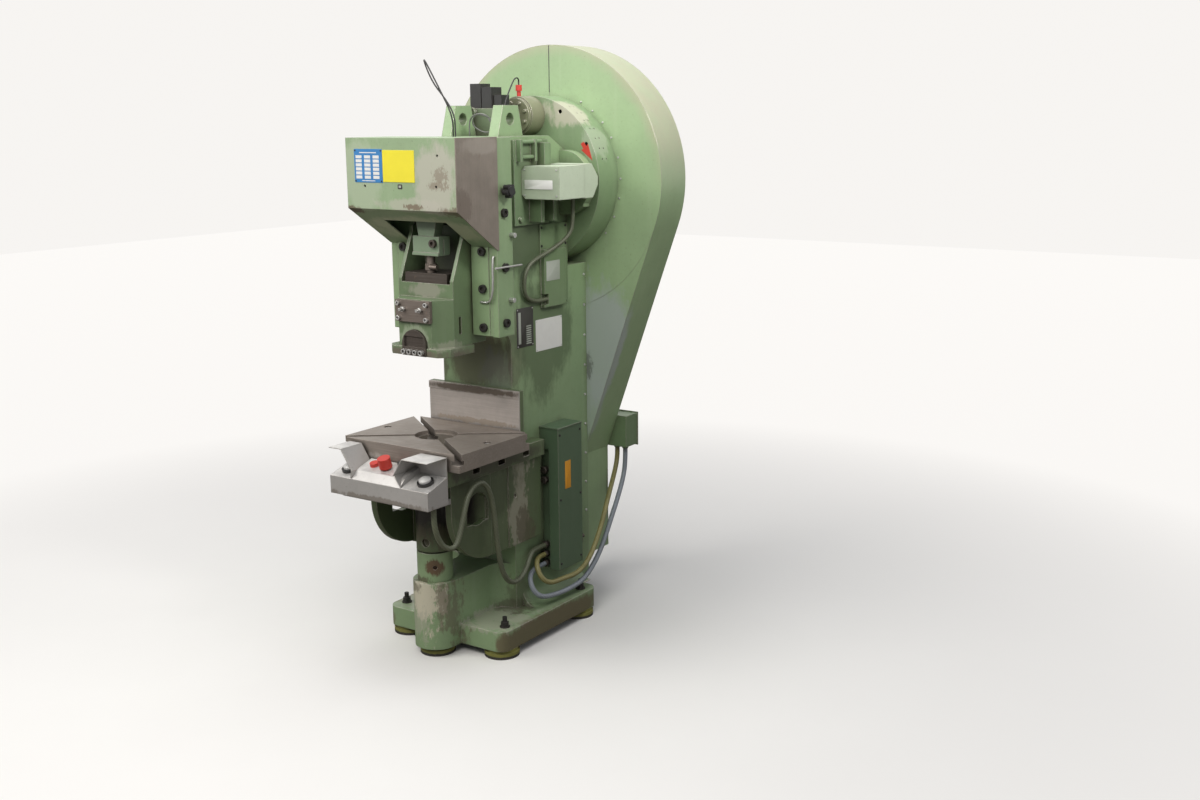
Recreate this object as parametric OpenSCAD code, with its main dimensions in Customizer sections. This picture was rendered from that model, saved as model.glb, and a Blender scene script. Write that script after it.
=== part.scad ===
// Open-front mechanical stamping press with knee table, seen from the front as -Y
// Origin on the floor under the middle of the base plate, Z up, millimetres

/* [Base] */
// Width of the base plate
base_w = 516; // [500:2:560]
// Depth of the base plate
base_d = 563; // [555:1:600]
// Thickness of the base plate
base_t = 70; // [60:1:80]
// Height of the levelling mounts under the base
pad_h = 30; // [24:1:40]
// Diameter of a levelling mount
pad_dia = 120; // [90:1:130]
// Diameter of the foot studs
stud_dia = 16; // [12:1:20]
// Radius of the round nose that carries the jack screw
nose_r = 76; // [70:1:84]
// Height of the nose above the floor
nose_top = 262; // [256:1:268]

/* [Frame] */
// Width of the column
col_w = 298; // [290:2:304]
// Depth of the column behind the throat
col_d = 447; // [440:1:460]
// Height of the head above the floor
head_top = 1722; // [1716:1:1740]
// Height of the underside of the head
head_bottom = 1088; // [1080:1:1094]
// Width of the slide guide housing
housing_w = 450; // [440:2:470]
// Depth of the slide guide housing
housing_d = 81; // [76:1:90]
// Radius in the throat under the head
throat_r = 60; // [30:1:80]
// Height of the eccentric shaft
shaft_z = 1565; // [1560:1:1570]
// Distance from the slide axis to the column
throat_depth = 220; // [217:1:222]

/* [Slide] */
// Width of the slide body
slide_w = 230; // [224:2:234]
// Width over the guide flanges of the slide
guide_w = 300; // [292:2:306]
// Height of the slide foot above the floor at top dead centre
slide_bottom = 1033; // [1028:1:1038]
// Width of the slide foot
foot_w = 252; // [240:2:270]
// Thickness of the slide foot
foot_t = 27; // [20:1:32]
// Throw of the eccentric, half of the stroke
throw = 20; // [14:1:20]
// Diameter of the eccentric pin
pin_dia = 76; // [60:1:80]
// Diameter of the eccentric shaft in its bearings
shaft_dia = 110; // [100:1:114]
// Diameter of the adjusting screw
screw_dia = 28; // [24:1:30]
// Running gap of the slide in its guides
slide_gap = 0.3; // [0.3:0.05:0.6]

/* [Table] */
// Height of the table face above the floor
table_z = 753; // [751:1:757]
// Width of the bolster plate
table_w = 500; // [480:2:520]
// Depth of the bolster plate
table_d = 367; // [350:1:370]
// Thickness of the bolster plate
table_t = 58; // [50:1:62]
// Diameter of the hole in the middle of the bolster plate
table_hole = 120; // [80:1:130]
// Width of a T-slot at its mouth
slot_w = 22; // [16:1:24]
// Width of the knee
knee_w = 400; // [390:2:410]
// Diameter of the jack spindle
spindle_dia = 70; // [60:1:74]
// Diameter of the adjusting nut
nut_dia = 120; // [110:1:126]

/* [Flywheel] */
// Radius of the flywheel
wheel_r = 430; // [420:1:436]
// Width of the flywheel rim
wheel_w = 100; // [90:1:104]
// Inner gap between flywheel and guard
guard_gap = 35; // [28:1:40]
// Depth of the flywheel guard
guard_d = 158; // [154:1:170]
// Radius of the drum in front of the flywheel guard
drum_r = 291; // [288:1:296]
// Half angle of the guard's taper
taper = 20; // [18:0.5:21]
// Height of the motor above the floor
motor_z = 606; // [600:1:612]
// Sheet thickness of the guards
sheet = 3; // [2:0.5:4]

/* [Controls] */
// Width of the hand console
console_w = 418; // [400:2:430]
// Depth of the hand console
console_d = 96; // [92:1:100]
// Width of the electrical duct
duct_w = 80; // [76:1:96]
// Height of the electrical duct
duct_h = 514; // [490:1:530]
// Width of the cam switch box
switch_w = 164; // [150:1:172]
// Depth of the front guard box
fguard_d = 194; // [186:2:200]

/* [Hidden] */
$fn = 48;

base_top = pad_h + base_t;
col_front = -64;
col_rear = col_front + col_d;
slide_y = col_front - throat_depth;
housing_front = -222;
housing_rear = housing_front + housing_d;
nose_y = -316;
side_toe = 52;
foot_x = max(base_w / 2 - 38, col_w / 2 + side_toe + stud_dia * 1.1 + 1);
foot_y = base_d / 2 - 58;
pad_y = base_d / 2 - 60;
stud_h = 36;

drum_y = 264;
chamber_z = 1788;
valve_y = 68;
step_z = shaft_z - drum_r - 1;
top_rear = 170;
bush_t = 15;
bush_l = 100;
shaft_gap = 0.05;
channel_top = 1452;
gib_in = 121;
gib_out = 200;
gib_top = 1392;
gib_t = 24;
gib_proud = 4;
gib_bolt_x = 168;
gib_bolt_z = [1118, 1244, 1364];
side_bolt_z = [1132, 1312, 1486];
side_bolt_y = -186;
motor_r = 105;
motor_flange_r = 125;
motor_front = 150;
motor_shaft_r = 19;

slide_front = -314;
slide_back = -154;
slide_top = 1440;
guide_y0 = -198;
guide_y1 = -158;
boss_w = 138;
boss_front = -372;
boss_top = 1215;
body_z = slide_bottom + foot_t;
window_z = 1262;
window_w = slide_w - 25;
ball_z = 1200;
ball_r = 22;
ball_gap = 0.3;
seat_r = ball_r + 3;
swing_room = 6;
rod_z = shaft_z + throw;
rod_t = 50;
rod_gap = 2 * throw * 1.118 + 2.5;
rod_in = pin_dia / 2 + rod_gap;
rod_wall = 23;
block_z0 = 1350;
block_z1 = 1412;

knee_top = table_z - table_t;
knee_flange = 55;
knee_z0 = 345;
boss_z0 = 369;
nut_gap = 6;
spindle_in = 60;
cheek_x = 175;
cheek_t = 24;
arc_r = 183;
arc_y = -245;
arc_z = 532;
plate_y = -225;
block_y = -250;
knee_front = -430;
carriage_y = -84;
carriage_top = 885;
carriage_gap = 0.3;
table_y = -287.5;
tslot_y = [-326, -193, -60];

guard_r = wheel_r + guard_gap + sheet;
guard_y0 = col_rear;
guard_y1 = guard_y0 + sheet + guard_d;
guard_low_w = 131;
guard_low_z = 165;
groove_y = [0, 22, 44];
belt_w = 13;
belt_h = 10;
groove_d = 12;
wheel_y = guard_y0 + 17;
belt_y = wheel_y + wheel_w / 2 - 22;
pulley_r = 90;

fguard_front = housing_front - fguard_d;
fguard_rear = housing_front + 8;
fguard_top = head_top + sheet;
fguard_x = housing_w / 2;
fguard_mid = 1502;
fguard_low = 1375;

side_x = col_w / 2;
console_y1 = -480;
console_y0 = console_y1 - console_d;
console_z0 = 591;
deck_x = 94;
deck_x0 = -115;
lip_z = 650;
hood_z = 744;
end_rise = 31;
crease_y = 24;
deck_z0 = 676;
deck_z1 = 698;
end_tilt = atan(end_rise / console_d);
deck_tilt = atan((deck_z1 - deck_z0) / (console_d - crease_y));
palm_x = 162;
start_x = -68;
stop_x = -12;
palm_y = console_y0 + 46;
duct_y0 = 86;
duct_y1 = 229;
duct_z0 = 208;
duct_x1 = side_x + duct_w;
switch_z0 = 1518;
switch_z1 = 1626;
switch_y0 = 0;
switch_seam = 142;
switch_y1 = 229;
switch_x1 = side_x + switch_w;

gland_x = side_x + 19;
gland_y = duct_y0 - 8;
console_route = [[190, -530, 590.7], [190, -530, 520], [196, -500, 450], [210, -448, 436],
    [214, -420, 520], [216, -390, 610], [216, -330, 636], [216, -285, 600], [216, -262, 520],
    [216, -250, 400], [212, -222, 290], [204, -165, 232], [196, -100, 228], [184, -46, 256],
    [172, -6, 296], [gland_x, 40, 296], [gland_x, 78, 296]];
motor_route = [[gland_x, 78, 262], [gland_x, 38, 262], [188, 2, 246], [212, -4, 206], [226, 30, 178],
    [226, 110, 174], [236, 190, 172], [240, 262, 212], [220, 365, 302], [190, 455, 384], [166, 522, 430],
    [150, 574, 480], [150, 582, 520], [150, 582, 548]];
sensor_route = [[gland_x, 78, 228], [gland_x, 26, 228], [180, -30, 218], [204, -46, 176], [222, -22, 142],
    [228, 50, 130], [234, 140, 128], [240, 220, 140], [234, 310, 190], [220, 385, 245], [206, 450, 305],
    [194, 520, 375], [186, 574, 450], [186, 582, 510], [186, 582, 548]];
switch_route = [[235, 185, 1515.7], [235, 185, 1450], [232, 178, 1390], [190, 120, 1340], [170, 0, 1300],
    [163, -10, 1200], [162, 50, 1168], [162, 127, 1170]];
loop_route = [[65, -230, 1725], [65, -230, 1790], [10, -230, 1880], [-60, -230, 1990], [-20, -230, 1900],
    [40, -230, 1840], [74, -230, 1790], [74, -230, 1725]];
wire_route = [[-40, -20, 1722], [-40, -20, 1790], [40, -30, 1800], [60, 0, 1745], [0, 10, 1730], [-50, 0, 1760],
    [-20, -10, 1800], [50, -10, 1780], [50, 16, 1745], [10, 16, 1780], [10, 30, 1780]];
hose_route = [[40, 60, 1722], [40, 60, 1810], [40, 110, 1890], [10, 170, 1915], [0, 204, 1915], [0, 204, 1891.7]];
pipe_route = [[212, -222, 1349], [212, -232, 1349], [212, -232, 1201], [158, -232, 1201], [158, -226, 1201]];

paint = [0.62, 0.74, 0.58];
paint_dark = [0.45, 0.56, 0.43];
steel = [0.72, 0.71, 0.68];
dark_steel = [0.35, 0.33, 0.31];
black = [0.1, 0.1, 0.1];
bronze = [0.72, 0.55, 0.3];
silver = [0.8, 0.8, 0.8];

// Box given by its limits on each axis
module span(x0, x1, y0, y1, z0, z1) {
    translate([x0, y0, z0]) cube([x1 - x0, y1 - y0, z1 - z0]);
}

// Cylinder along Y from y0 to y1
module rod_y(r, x, z, y0, y1) {
    translate([x, y0, z]) rotate([-90, 0, 0]) cylinder(r = r, h = y1 - y0);
}

// Cylinder along X from x0 to x1
module rod_x(r, y, z, x0, x1) {
    translate([x0, y, z]) rotate([0, 90, 0]) cylinder(r = r, h = x1 - x0);
}

// Side profile drawn as (y, z) and thickened from x0 to x1
module side_plate(x0, x1) {
    translate([x0, 0, 0]) rotate([90, 0, 90]) linear_extrude(x1 - x0) children();
}

// Front profile drawn as (x, z) and thickened from y0 to y1
module front_plate(y0, y1) {
    translate([0, y1, 0]) rotate([90, 0, 0]) linear_extrude(y1 - y0) children();
}

// Shows its children and their mirror image across the middle plane
module both() {
    children();
    mirror([1, 0, 0]) children();
}

module round_rect(w, d, r) {
    square([w - 2 * r, d], center = true);
    square([w, d - 2 * r], center = true);
    for (x = [-1, 1], y = [-1, 1])
        translate([x * (w / 2 - r), y * (d / 2 - r)]) circle(r);
}

// Concave fillet of radius r in the corner at (0, 0), open to -x and -y
module fillet(r) {
    difference() {
        translate([-r, -r]) square(r + 0.01);
        translate([-r, -r]) circle(r);
    }
}

// Socket head screw with its head towards -Y
module cap_screw_y(x, y, z, r, h) {
    difference() {
        rod_y(r, x, z, y - h, y);
        translate([x, y - h - 1, z]) rotate([-90, 0, 0]) cylinder(r = r * 0.55, h = h * 0.6 + 1, $fn = 6);
    }
}

// Socket head screw with its head towards +X
module cap_screw_x(x, y, z, r, h) {
    difference() {
        rod_x(r, y, z, x, x + h);
        translate([x + h * 0.4, y, z]) rotate([0, 90, 0]) cylinder(r = r * 0.55, h = h, $fn = 6);
    }
}

// Tube swept along a list of points
function unit(v) = v / norm(v);
function tangent(p, i) = unit(p[min(i + 1, len(p) - 1)] - p[max(i - 1, 0)]);
function bezier(a, b, c, t) = (1 - t) * (1 - t) * a + 2 * t * (1 - t) * b + t * t * c;
// Rounds a route: a quadratic bend at each inner point between the middles of its legs
function smooth(p, n) = [
    p[0],
    for (i = [1:len(p) - 2], k = [0:n])
        if (i == 1 || k > 0)
            bezier((p[i - 1] + p[i]) / 2, p[i], (p[i] + p[i + 1]) / 2, k / n),
    p[len(p) - 1]
];
function side_of(t) = abs(t[2]) < 0.9 ? unit(cross(t, [0, 0, 1])) : unit(cross(t, [0, 1, 0]));
function carry(u, t) = unit(u - (u * t) * t);
function frames(p, i = 0, u = undef, out = []) =
    i == len(p) ? out :
    let (t = tangent(p, i), v = u == undef ? side_of(t) : carry(u, t))
    frames(p, i + 1, v, concat(out, [[t, v]]));
module tube(route, r, n = 8) {
    f = frames(route);
    pts = [for (i = [0:len(route) - 1], k = [0:n - 1])
        route[i] + r * (cos(360 * k / n) * f[i][1] + sin(360 * k / n) * cross(f[i][0], f[i][1]))];
    m = len(route);
    faces = concat(
        [[for (k = [n - 1:-1:0]) k]],
        [for (i = [0:m - 2], k = [0:n - 1])
            [i * n + k, i * n + (k + 1) % n, (i + 1) * n + (k + 1) % n, (i + 1) * n + k]],
        [[for (k = [0:n - 1]) (m - 1) * n + k]]);
    polyhedron(pts, [for (q = faces) [for (j = [len(q) - 1:-1:0]) q[j]]]);
}

// C-frame of the press: column, head, guide housing, nose and base plate
module frame_outline() {
    polygon([[col_front, base_top - 1], [col_rear, base_top - 1], [col_rear, step_z],
        [drum_y, step_z], [drum_y, head_top - 52], [top_rear, head_top],
        [housing_rear - 1, head_top], [housing_rear - 1, head_bottom], [col_front, head_bottom]]);
    translate([col_front, head_bottom]) fillet(throat_r);
}
module nose_outline(r) {
    translate([0, nose_y]) circle(r);
    translate([-r, nose_y]) square([2 * r, col_front - nose_y + 1]);
    both() translate([-r, col_front]) fillet(60);
}
module base_outline() {
    round_rect(base_w, base_d, 40);
    nose_outline(nose_r);
}
module frame_casting() {
    color(paint) difference() {
        union() {
            translate([0, 0, pad_h]) linear_extrude(base_t) base_outline();
            translate([0, 0, base_top - 1]) linear_extrude(nose_top - base_top + 1) nose_outline(nose_r);
            side_plate(-side_x, side_x) frame_outline();
            span(-housing_w / 2, housing_w / 2, housing_front, housing_rear, head_bottom, head_top);
            rod_y(shaft_dia / 2 + bush_t + 25, 0, shaft_z, housing_front - 6, housing_front + 1);
            both() front_plate(col_front + 40, col_rear - 60)
                translate([side_x, base_top]) rotate(180) fillet(side_toe);
            both() lifting_lug();
        }
        rod_y(shaft_dia / 2 + bush_t, 0, shaft_z, housing_front - 7, drum_y + 1);
        slide_channel();
        gib_recess();
        rod_y(motor_r + 7, 0, motor_z, motor_front - 10, col_rear + 1);
        rod_y(motor_flange_r + 1, 0, motor_z, col_rear - 12, col_rear + 1);
        translate([0, nose_y, base_top - 40]) cylinder(d = spindle_dia + 2, h = nose_top);
    }
}
module lifting_lug() {
    side_plate(80, 120) difference() {
        polygon([[-71, head_top - 1], [-41, head_top + 101], [40, head_top + 101], [64, head_top - 1]]);
        translate([-5, head_top + 56]) circle(d = 40);
    }
}
module slide_channel() {
    g = slide_gap;
    span(-guide_w / 2 - g, guide_w / 2 + g, guide_y0 - g, slide_back + g, head_bottom - 1, channel_top);
    span(-gib_in, gib_in, housing_front - 1, guide_y0, head_bottom - 1, channel_top);
}
module gib_recess() {
    both() span(gib_in - 1, gib_out, housing_front - 1, housing_front + gib_t - 0.3, head_bottom - 1, gib_top);
}

module at_pads() {
    for (x = [-1, 1], y = [-1, 1]) translate([x * (base_w / 2 - 54), y * pad_y, 0]) children();
    translate([0, nose_y, 0]) children();
}
module foot_pads() {
    color(black) at_pads() {
        cylinder(d = pad_dia, h = pad_h - 10);
        translate([0, 0, pad_h - 11]) cylinder(d = pad_dia - 10, h = 11);
    }
}
module foot_studs() {
    color(dark_steel) for (x = [-1, 1], y = [-1, 1]) translate([x * foot_x, y * foot_y, base_top]) {
        cylinder(d = stud_dia * 2.2, h = 4);
        translate([0, 0, 4]) cylinder(d = stud_dia * 1.8, h = stud_dia * 0.9, $fn = 6);
        cylinder(d = stud_dia, h = stud_h);
    }
}

module side_cover() {
    color(paint) difference() {
        union() {
            span(side_x, side_x + 5, 104, drum_y, 1140, 1425);
            span(side_x + 4, side_x + 20, 106, 231, 1142, 1340);
        }
        span(side_x + 4.5, side_x + 21, 105, 128, 1152, 1188);
    }
}

// Knee with slotted table flange, arched side windows, open front and rear slide carriage
module knee_side_outline() {
    difference() {
        union() {
            intersection() {
                translate([arc_y, arc_z]) circle(arc_r);
                translate([knee_front, knee_z0]) square([arc_y - knee_front, arc_z - knee_z0]);
            }
            translate([arc_y - arc_r, arc_z - 0.01]) square([arc_r + plate_y - arc_y, knee_top - 20 - arc_z]);
            translate([arc_y - 0.01, arc_z - arc_r]) square([plate_y - arc_y, arc_r + 0.02]);
        }
        translate([plate_y, arc_z - arc_r]) rotate(-90) fillet(12);
        knee_window_outline();
    }
}
// Arched window in each side plate of the knee
module knee_window_outline() {
    translate([-296, 525]) circle(55);
    translate([-351, 478]) square([110, 47]);
}

module knee_casting() {
    color(paint) difference() {
        union() {
            difference() {
                span(-knee_w / 2, knee_w / 2, knee_front - 40, 44, knee_top - knee_flange, knee_top);
                span(-side_x - carriage_gap, side_x + carriage_gap, col_front - carriage_gap, 45,
                    knee_top - knee_flange - 1, knee_top + 1);
            }
            both() side_plate(cheek_x - cheek_t, cheek_x) knee_side_outline();
            span(5 - cheek_x, cheek_x - 5, block_y, col_front - carriage_gap, knee_z0, knee_top - knee_flange + 1);
            span(-196, 196, carriage_y, col_front - carriage_gap, knee_top - 1, carriage_top);
            both() span(side_x + carriage_gap, cheek_x, -128, 54, knee_z0, knee_top - knee_flange + 1);
            knee_boss();
        }
        for (y = tslot_y) both() table_slot(y);
        translate([0, nose_y, boss_z0 - 1]) cylinder(d = spindle_dia, h = spindle_in + 2);
        both() rod_x(8, -94, 520, cheek_x - 8, cheek_x + 1);
        rod_y(14, 12, boss_z0 + 32, nose_y - nut_dia / 2 - 1, nose_y - nut_dia / 2 + 14);
    }
}
// Housing of the jack spindle, standing between the side plates and tied back by a web
module knee_boss() {
    translate([0, nose_y, boss_z0]) cylinder(d = nut_dia, h = knee_top - knee_flange - boss_z0 + 1);
    span(-20, 20, nose_y + 40, block_y + 1, boss_z0, knee_top - knee_flange + 1);
}
module table_slot(y) {
    w = slot_w;
    x0 = y > col_front - 60 ? side_x + 10 : -1;
    span(x0, knee_w / 2 + 1, y - w / 2, y + w / 2, knee_top - 22, knee_top + 1);
    span(x0, knee_w / 2 + 1, y - w * 0.82, y + w * 0.82, knee_top - 38, knee_top - 22);
}

// Bolster plate with two T-slots from corner to corner and a stepped hole
module bolster_plate() {
    a = atan(table_d / table_w);
    color(steel) difference() {
        translate([0, table_y, knee_top]) linear_extrude(table_t) round_rect(table_w, table_d, 4);
        for (s = [-1, 1]) translate([0, table_y, table_z]) rotate([0, 0, s * a]) {
            translate([0, 0, -10]) cube([2 * table_w, slot_w, 24], center = true);
            translate([0, 0, -28]) cube([2 * table_w, slot_w * 1.7, 14], center = true);
        }
        translate([0, table_y, knee_top - 1]) cylinder(d = table_hole, h = table_t + 2);
        translate([0, table_y, table_z - 12]) cylinder(d = table_hole + 24, h = 13);
        both() translate([table_w / 2 - 34, table_y, table_z - 12]) cylinder(d = 26, h = 13);
    }
}
module throat_plate() {
    color(silver) {
        span(-196, 196, carriage_y - 5, carriage_y, table_z - 40, carriage_top - 25);
        span(-196, 196, carriage_y - 9, carriage_y, carriage_top - 25, carriage_top - 1);
    }
}
module jack_spindle() {
    z0 = base_top - 30;
    color(dark_steel) translate([0, nose_y, z0]) cylinder(d = spindle_dia, h = boss_z0 + spindle_in - z0);
}
module adjusting_nut() {
    color(paint_dark) translate([0, nose_y, nose_top]) difference() {
        translate([0, 0, 0.3]) cylinder(d = nut_dia, h = boss_z0 - nose_top - nut_gap);
        translate([0, 0, -1]) cylinder(d = spindle_dia + 0.1, h = 200);
        for (k = [0:3]) rotate([0, 0, 90 * k + 41]) translate([0, nut_dia / 2 + 5, (boss_z0 - nose_top) / 2])
            rotate([90, 0, 0]) cylinder(r = 7, h = 24);
    }
}

// Slide with its sloping window cheeks, guide flanges, boss and foot
module slide_plan() {
    polygon([[-slide_w / 2, slide_back], [-slide_w / 2, slide_front], [-boss_w / 2, boss_front],
        [boss_w / 2, boss_front], [slide_w / 2, slide_front], [slide_w / 2, slide_back]]);
}
module slide_casting() {
    color(paint) difference() {
        union() {
            span(-slide_w / 2, slide_w / 2, slide_front, slide_back, body_z, slide_top);
            span(-guide_w / 2, guide_w / 2, guide_y0, guide_y1, head_bottom + 8, slide_top - 4);
            translate([0, 0, body_z]) linear_extrude(boss_top - body_z) slide_plan();
            slide_foot();
        }
        span(-window_w / 2, window_w / 2, slide_front - 70, slide_back - 40, window_z, slide_top + 1);
        side_plate(-slide_w / 2 - 1, slide_w / 2 + 1)
            polygon([[slide_front - 1, window_z + 8], [slide_front + 61, slide_top - 20],
                [slide_front + 61, slide_top + 1], [slide_front - 1, slide_top + 1]]);
        translate([0, slide_y, ball_z]) cylinder(r = seat_r, h = 200);
        translate([0, slide_y, ball_z]) sphere(r = ball_r + ball_gap);
        translate([0, slide_y, slide_bottom - 1]) cylinder(d = 40, h = 80);
        clamp_pocket(50);
        both() span(slide_w / 2 - 12, slide_w / 2 + 1, -290, -278, 1100, 1156);
    }
}
module slide_foot() {
    y0 = boss_front - 6;
    translate([0, 0, slide_bottom]) linear_extrude(foot_t)
        polygon([[-foot_w / 2 + 30, y0], [foot_w / 2 - 30, y0], [foot_w / 2, y0 + 30],
            [foot_w / 2, slide_front + 85], [-foot_w / 2, slide_front + 85], [-foot_w / 2, y0 + 30]]);
}
// Half-round pocket of the shank clamp in the front of the slide foot
module clamp_outline(r) {
    translate([0, body_z + 8]) circle(r);
    translate([-r, slide_bottom - 1]) square([2 * r, foot_t + 9]);
}
module clamp_pocket(r) {
    front_plate(boss_front - 7, boss_front + 34) clamp_outline(r);
}
module slide_cap_plate() {
    color(dark_steel) span(-72, 74, boss_front - 12, boss_front, 1143, 1213);
}
module shank_clamp() {
    y0 = boss_front - 10;
    color(dark_steel) difference() {
        intersection() {
            front_plate(y0, boss_front + 34) clamp_outline(50);
            span(-60, 60, y0, boss_front + 34, slide_bottom, body_z + 60);
        }
        translate([0, slide_y - 40, slide_bottom - 3]) cylinder(r = 20, h = 30);
        span(-40, 40, y0 - 1, y0 + 6, body_z + 2, body_z + 36);
    }
}
module slide_bolts() {
    color(steel) {
        for (x = [-58, 60], z = [1154, 1202]) cap_screw_y(x, boss_front - 12, z, 8, 8);
        for (x = [-36, 36]) rod_y(5, x, 1184, boss_front - 34, boss_front - 12);
        for (x = [-36, 36]) translate([x, boss_front - 12, 1184]) rotate([90, 0, 0])
            cylinder(r = 9, h = 9, $fn = 6);
        for (x = [-36, -12, 12, 36]) cap_screw_y(x, boss_front - 10, slide_bottom + 13, 9, 14);
    }
}
module ball_retainer() {
    color(dark_steel) difference() {
        union() {
            translate([0, slide_y, ball_z]) cylinder(r = seat_r, h = window_z - ball_z + 1);
            span(-88, 88, slide_front + 2, slide_back - 45, window_z, window_z + 32);
        }
        translate([0, slide_y, ball_z]) sphere(r = ball_r + ball_gap);
        translate([0, slide_y, ball_z - 1]) for (x = [-swing_room, swing_room])
            translate([x, 0, 0]) cylinder(d = screw_dia + 2, h = 120);
        span(-swing_room, swing_room, slide_y - screw_dia / 2 - 1, slide_y + screw_dia / 2 + 1,
            ball_z, window_z + 40);
    }
}
module ball_screw() {
    color(steel) translate([0, slide_y, ball_z]) {
        sphere(r = ball_r);
        cylinder(d = screw_dia, h = block_z1 - ball_z);
        translate([0, 0, 102]) cylinder(d = screw_dia + 12, h = 20, $fn = 6);
        translate([6, -12, 112]) rotate([0, 90, 0]) cylinder(r = 8, h = 30);
    }
}

// Connecting rod: big end round the eccentric pin, waisted shank and split clamp block
module connecting_rod() {
    y0 = slide_y - rod_t / 2;
    y1 = slide_y + rod_t / 2;
    color(paint_dark) difference() {
        union() {
            rod_y(rod_in + rod_wall, 0, rod_z, y0, y1);
            front_plate(y0 + 6, y1 - 6)
                polygon([[-32, block_z1 - 4], [32, block_z1 - 4], [50, rod_z - rod_in], [-50, rod_z - rod_in]]);
            span(-55, 55, slide_y - 22, slide_y + 32, block_z0, block_z1);
            span(-55, 55, slide_y - 27, slide_y - 21, block_z0, block_z0 + 10);
            both() span(rod_in + rod_wall - 14, rod_in + rod_wall + 14, y0 + 10, y1 - 10,
                rod_z - 24, rod_z + 24);
        }
        rod_y(rod_in, 0, rod_z, y0 - 1, y1 + 1);
        translate([0, slide_y, block_z0 - 1]) cylinder(d = screw_dia, h = block_z1 - block_z0 + 2);
        span(10, 56, slide_y - 1, slide_y + 2, block_z0 - 1, block_z1 - 12);
    }
}
module rod_clamp_bolt() {
    color(dark_steel) cap_screw_y(34, slide_y - 22, 1390, 13, 12);
}

// Shaft through the head with its eccentric pin in front
module eccentric_shaft() {
    y0 = slide_y - rod_t / 2;
    color(steel) {
        rod_y(shaft_dia / 2, 0, shaft_z, housing_front - 8, drum_y + 6);
        rod_y(45, 0, shaft_z, drum_y + 5, guard_y1 - sheet - 8);
        rod_y(pin_dia / 2 + throw + 8, 0, shaft_z, housing_front - 20, housing_front - 7);
        rod_y(pin_dia / 2, 0, rod_z, y0 - 4, housing_front - 19);
        rod_y(pin_dia / 2 + 8, 0, rod_z, y0 - 16, y0 - 4);
    }
}
module shaft_bushes() {
    bush(housing_front - 6);
    bush(drum_y - bush_l);
}
module bush(y0) {
    color(bronze) difference() {
        rod_y(shaft_dia / 2 + bush_t, 0, shaft_z, y0, y0 + bush_l);
        rod_y(shaft_dia / 2 + shaft_gap, 0, shaft_z, y0 - 1, y0 + bush_l + 1);
    }
}

module gib_strips() {
    color(paint) both() difference() {
        span(gib_in, gib_out, housing_front - gib_proud, housing_front + gib_t - 0.3, head_bottom + 3, gib_top);
        span(gib_out - 9, gib_out + 1, housing_front - gib_proud - 1, housing_front, head_bottom, gib_top + 1);
    }
}
module gib_bolts() {
    color(black) both() {
        for (z = gib_bolt_z) cap_screw_y(gib_bolt_x, housing_front - gib_proud, z, 14, 10);
        for (z = side_bolt_z) cap_screw_x(housing_w / 2, side_bolt_y, z, 14, 10);
    }
}

// Flywheel with belt grooves, dished web with six holes and a hub
module flywheel() {
    y1 = wheel_y + wheel_w;
    color(dark_steel) translate([0, 0, shaft_z]) rotate([-90, 0, 0]) difference() {
        translate([0, 0, wheel_y]) cylinder(r = wheel_r, h = wheel_w);
        translate([0, 0, wheel_y - 1]) difference() {
            cylinder(r = wheel_r - 70, h = 31);
            cylinder(r = 95, h = 31);
        }
        translate([0, 0, y1 - 30]) difference() {
            cylinder(r = wheel_r - 70, h = 31);
            cylinder(r = 95, h = 31);
        }
        for (k = [0:5]) rotate([0, 0, 60 * k]) translate([225, 0, wheel_y]) cylinder(r = 62, h = wheel_w);
        for (g = groove_y) translate([0, 0, belt_y + g - belt_w / 2 - 0.5]) difference() {
            cylinder(r = wheel_r + 1, h = belt_w + 1);
            cylinder(r = wheel_r - groove_d, h = belt_w + 1);
        }
        translate([0, 0, wheel_y - 1]) cylinder(r = 45 + shaft_gap, h = wheel_w + 2);
    }
}
module clutch_hub() {
    color(dark_steel) difference() {
        union() {
            rod_y(drum_r - 40, 0, shaft_z, drum_y + 34, drum_y + 84);
            rod_y(90, 0, shaft_z, drum_y + 20, drum_y + 100);
        }
        rod_y(45, 0, shaft_z, drum_y, drum_y + 120);
        for (k = [0:7]) rod_y(22, 180 * cos(45 * k), shaft_z + 180 * sin(45 * k), drum_y + 30, drum_y + 90);
    }
}
module belt_outline(r1, r2) {
    d = shaft_z - motor_z;
    a = asin((r1 - r2) / d);
    translate([0, shaft_z]) circle(r1);
    translate([0, motor_z]) circle(r2);
    polygon([[r1 * cos(a), shaft_z - r1 * sin(a)], [r2 * cos(a), motor_z - r2 * sin(a)],
        [-r2 * cos(a), motor_z - r2 * sin(a)], [-r1 * cos(a), shaft_z - r1 * sin(a)]]);
}
module v_belts() {
    r1 = wheel_r - groove_d + 0.3;
    r2 = pulley_r - groove_d + 0.3;
    color(black) for (g = groove_y)
        front_plate(belt_y + g - belt_w / 2, belt_y + g + belt_w / 2) difference() {
            belt_outline(r1 + belt_h, r2 + belt_h);
            belt_outline(r1, r2);
        }
}
module motor() {
    color(paint_dark) difference() {
        union() {
            rod_y(motor_r - 8, 0, motor_z, motor_front, col_rear - 11);
            rod_y(motor_flange_r, 0, motor_z, col_rear - 12, col_rear);
            for (k = [0:19]) rotate_about(motor_z, 18 * k)
                span(motor_r - 12, motor_r, motor_front + 30, col_rear - 40, -2, 2);
        }
        rod_y(motor_shaft_r + shaft_gap, 0, motor_z, motor_front + 4, col_rear + 1);
    }
}
module rotate_about(z, a) {
    translate([0, 0, z]) rotate([0, a, 0]) children();
}
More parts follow.
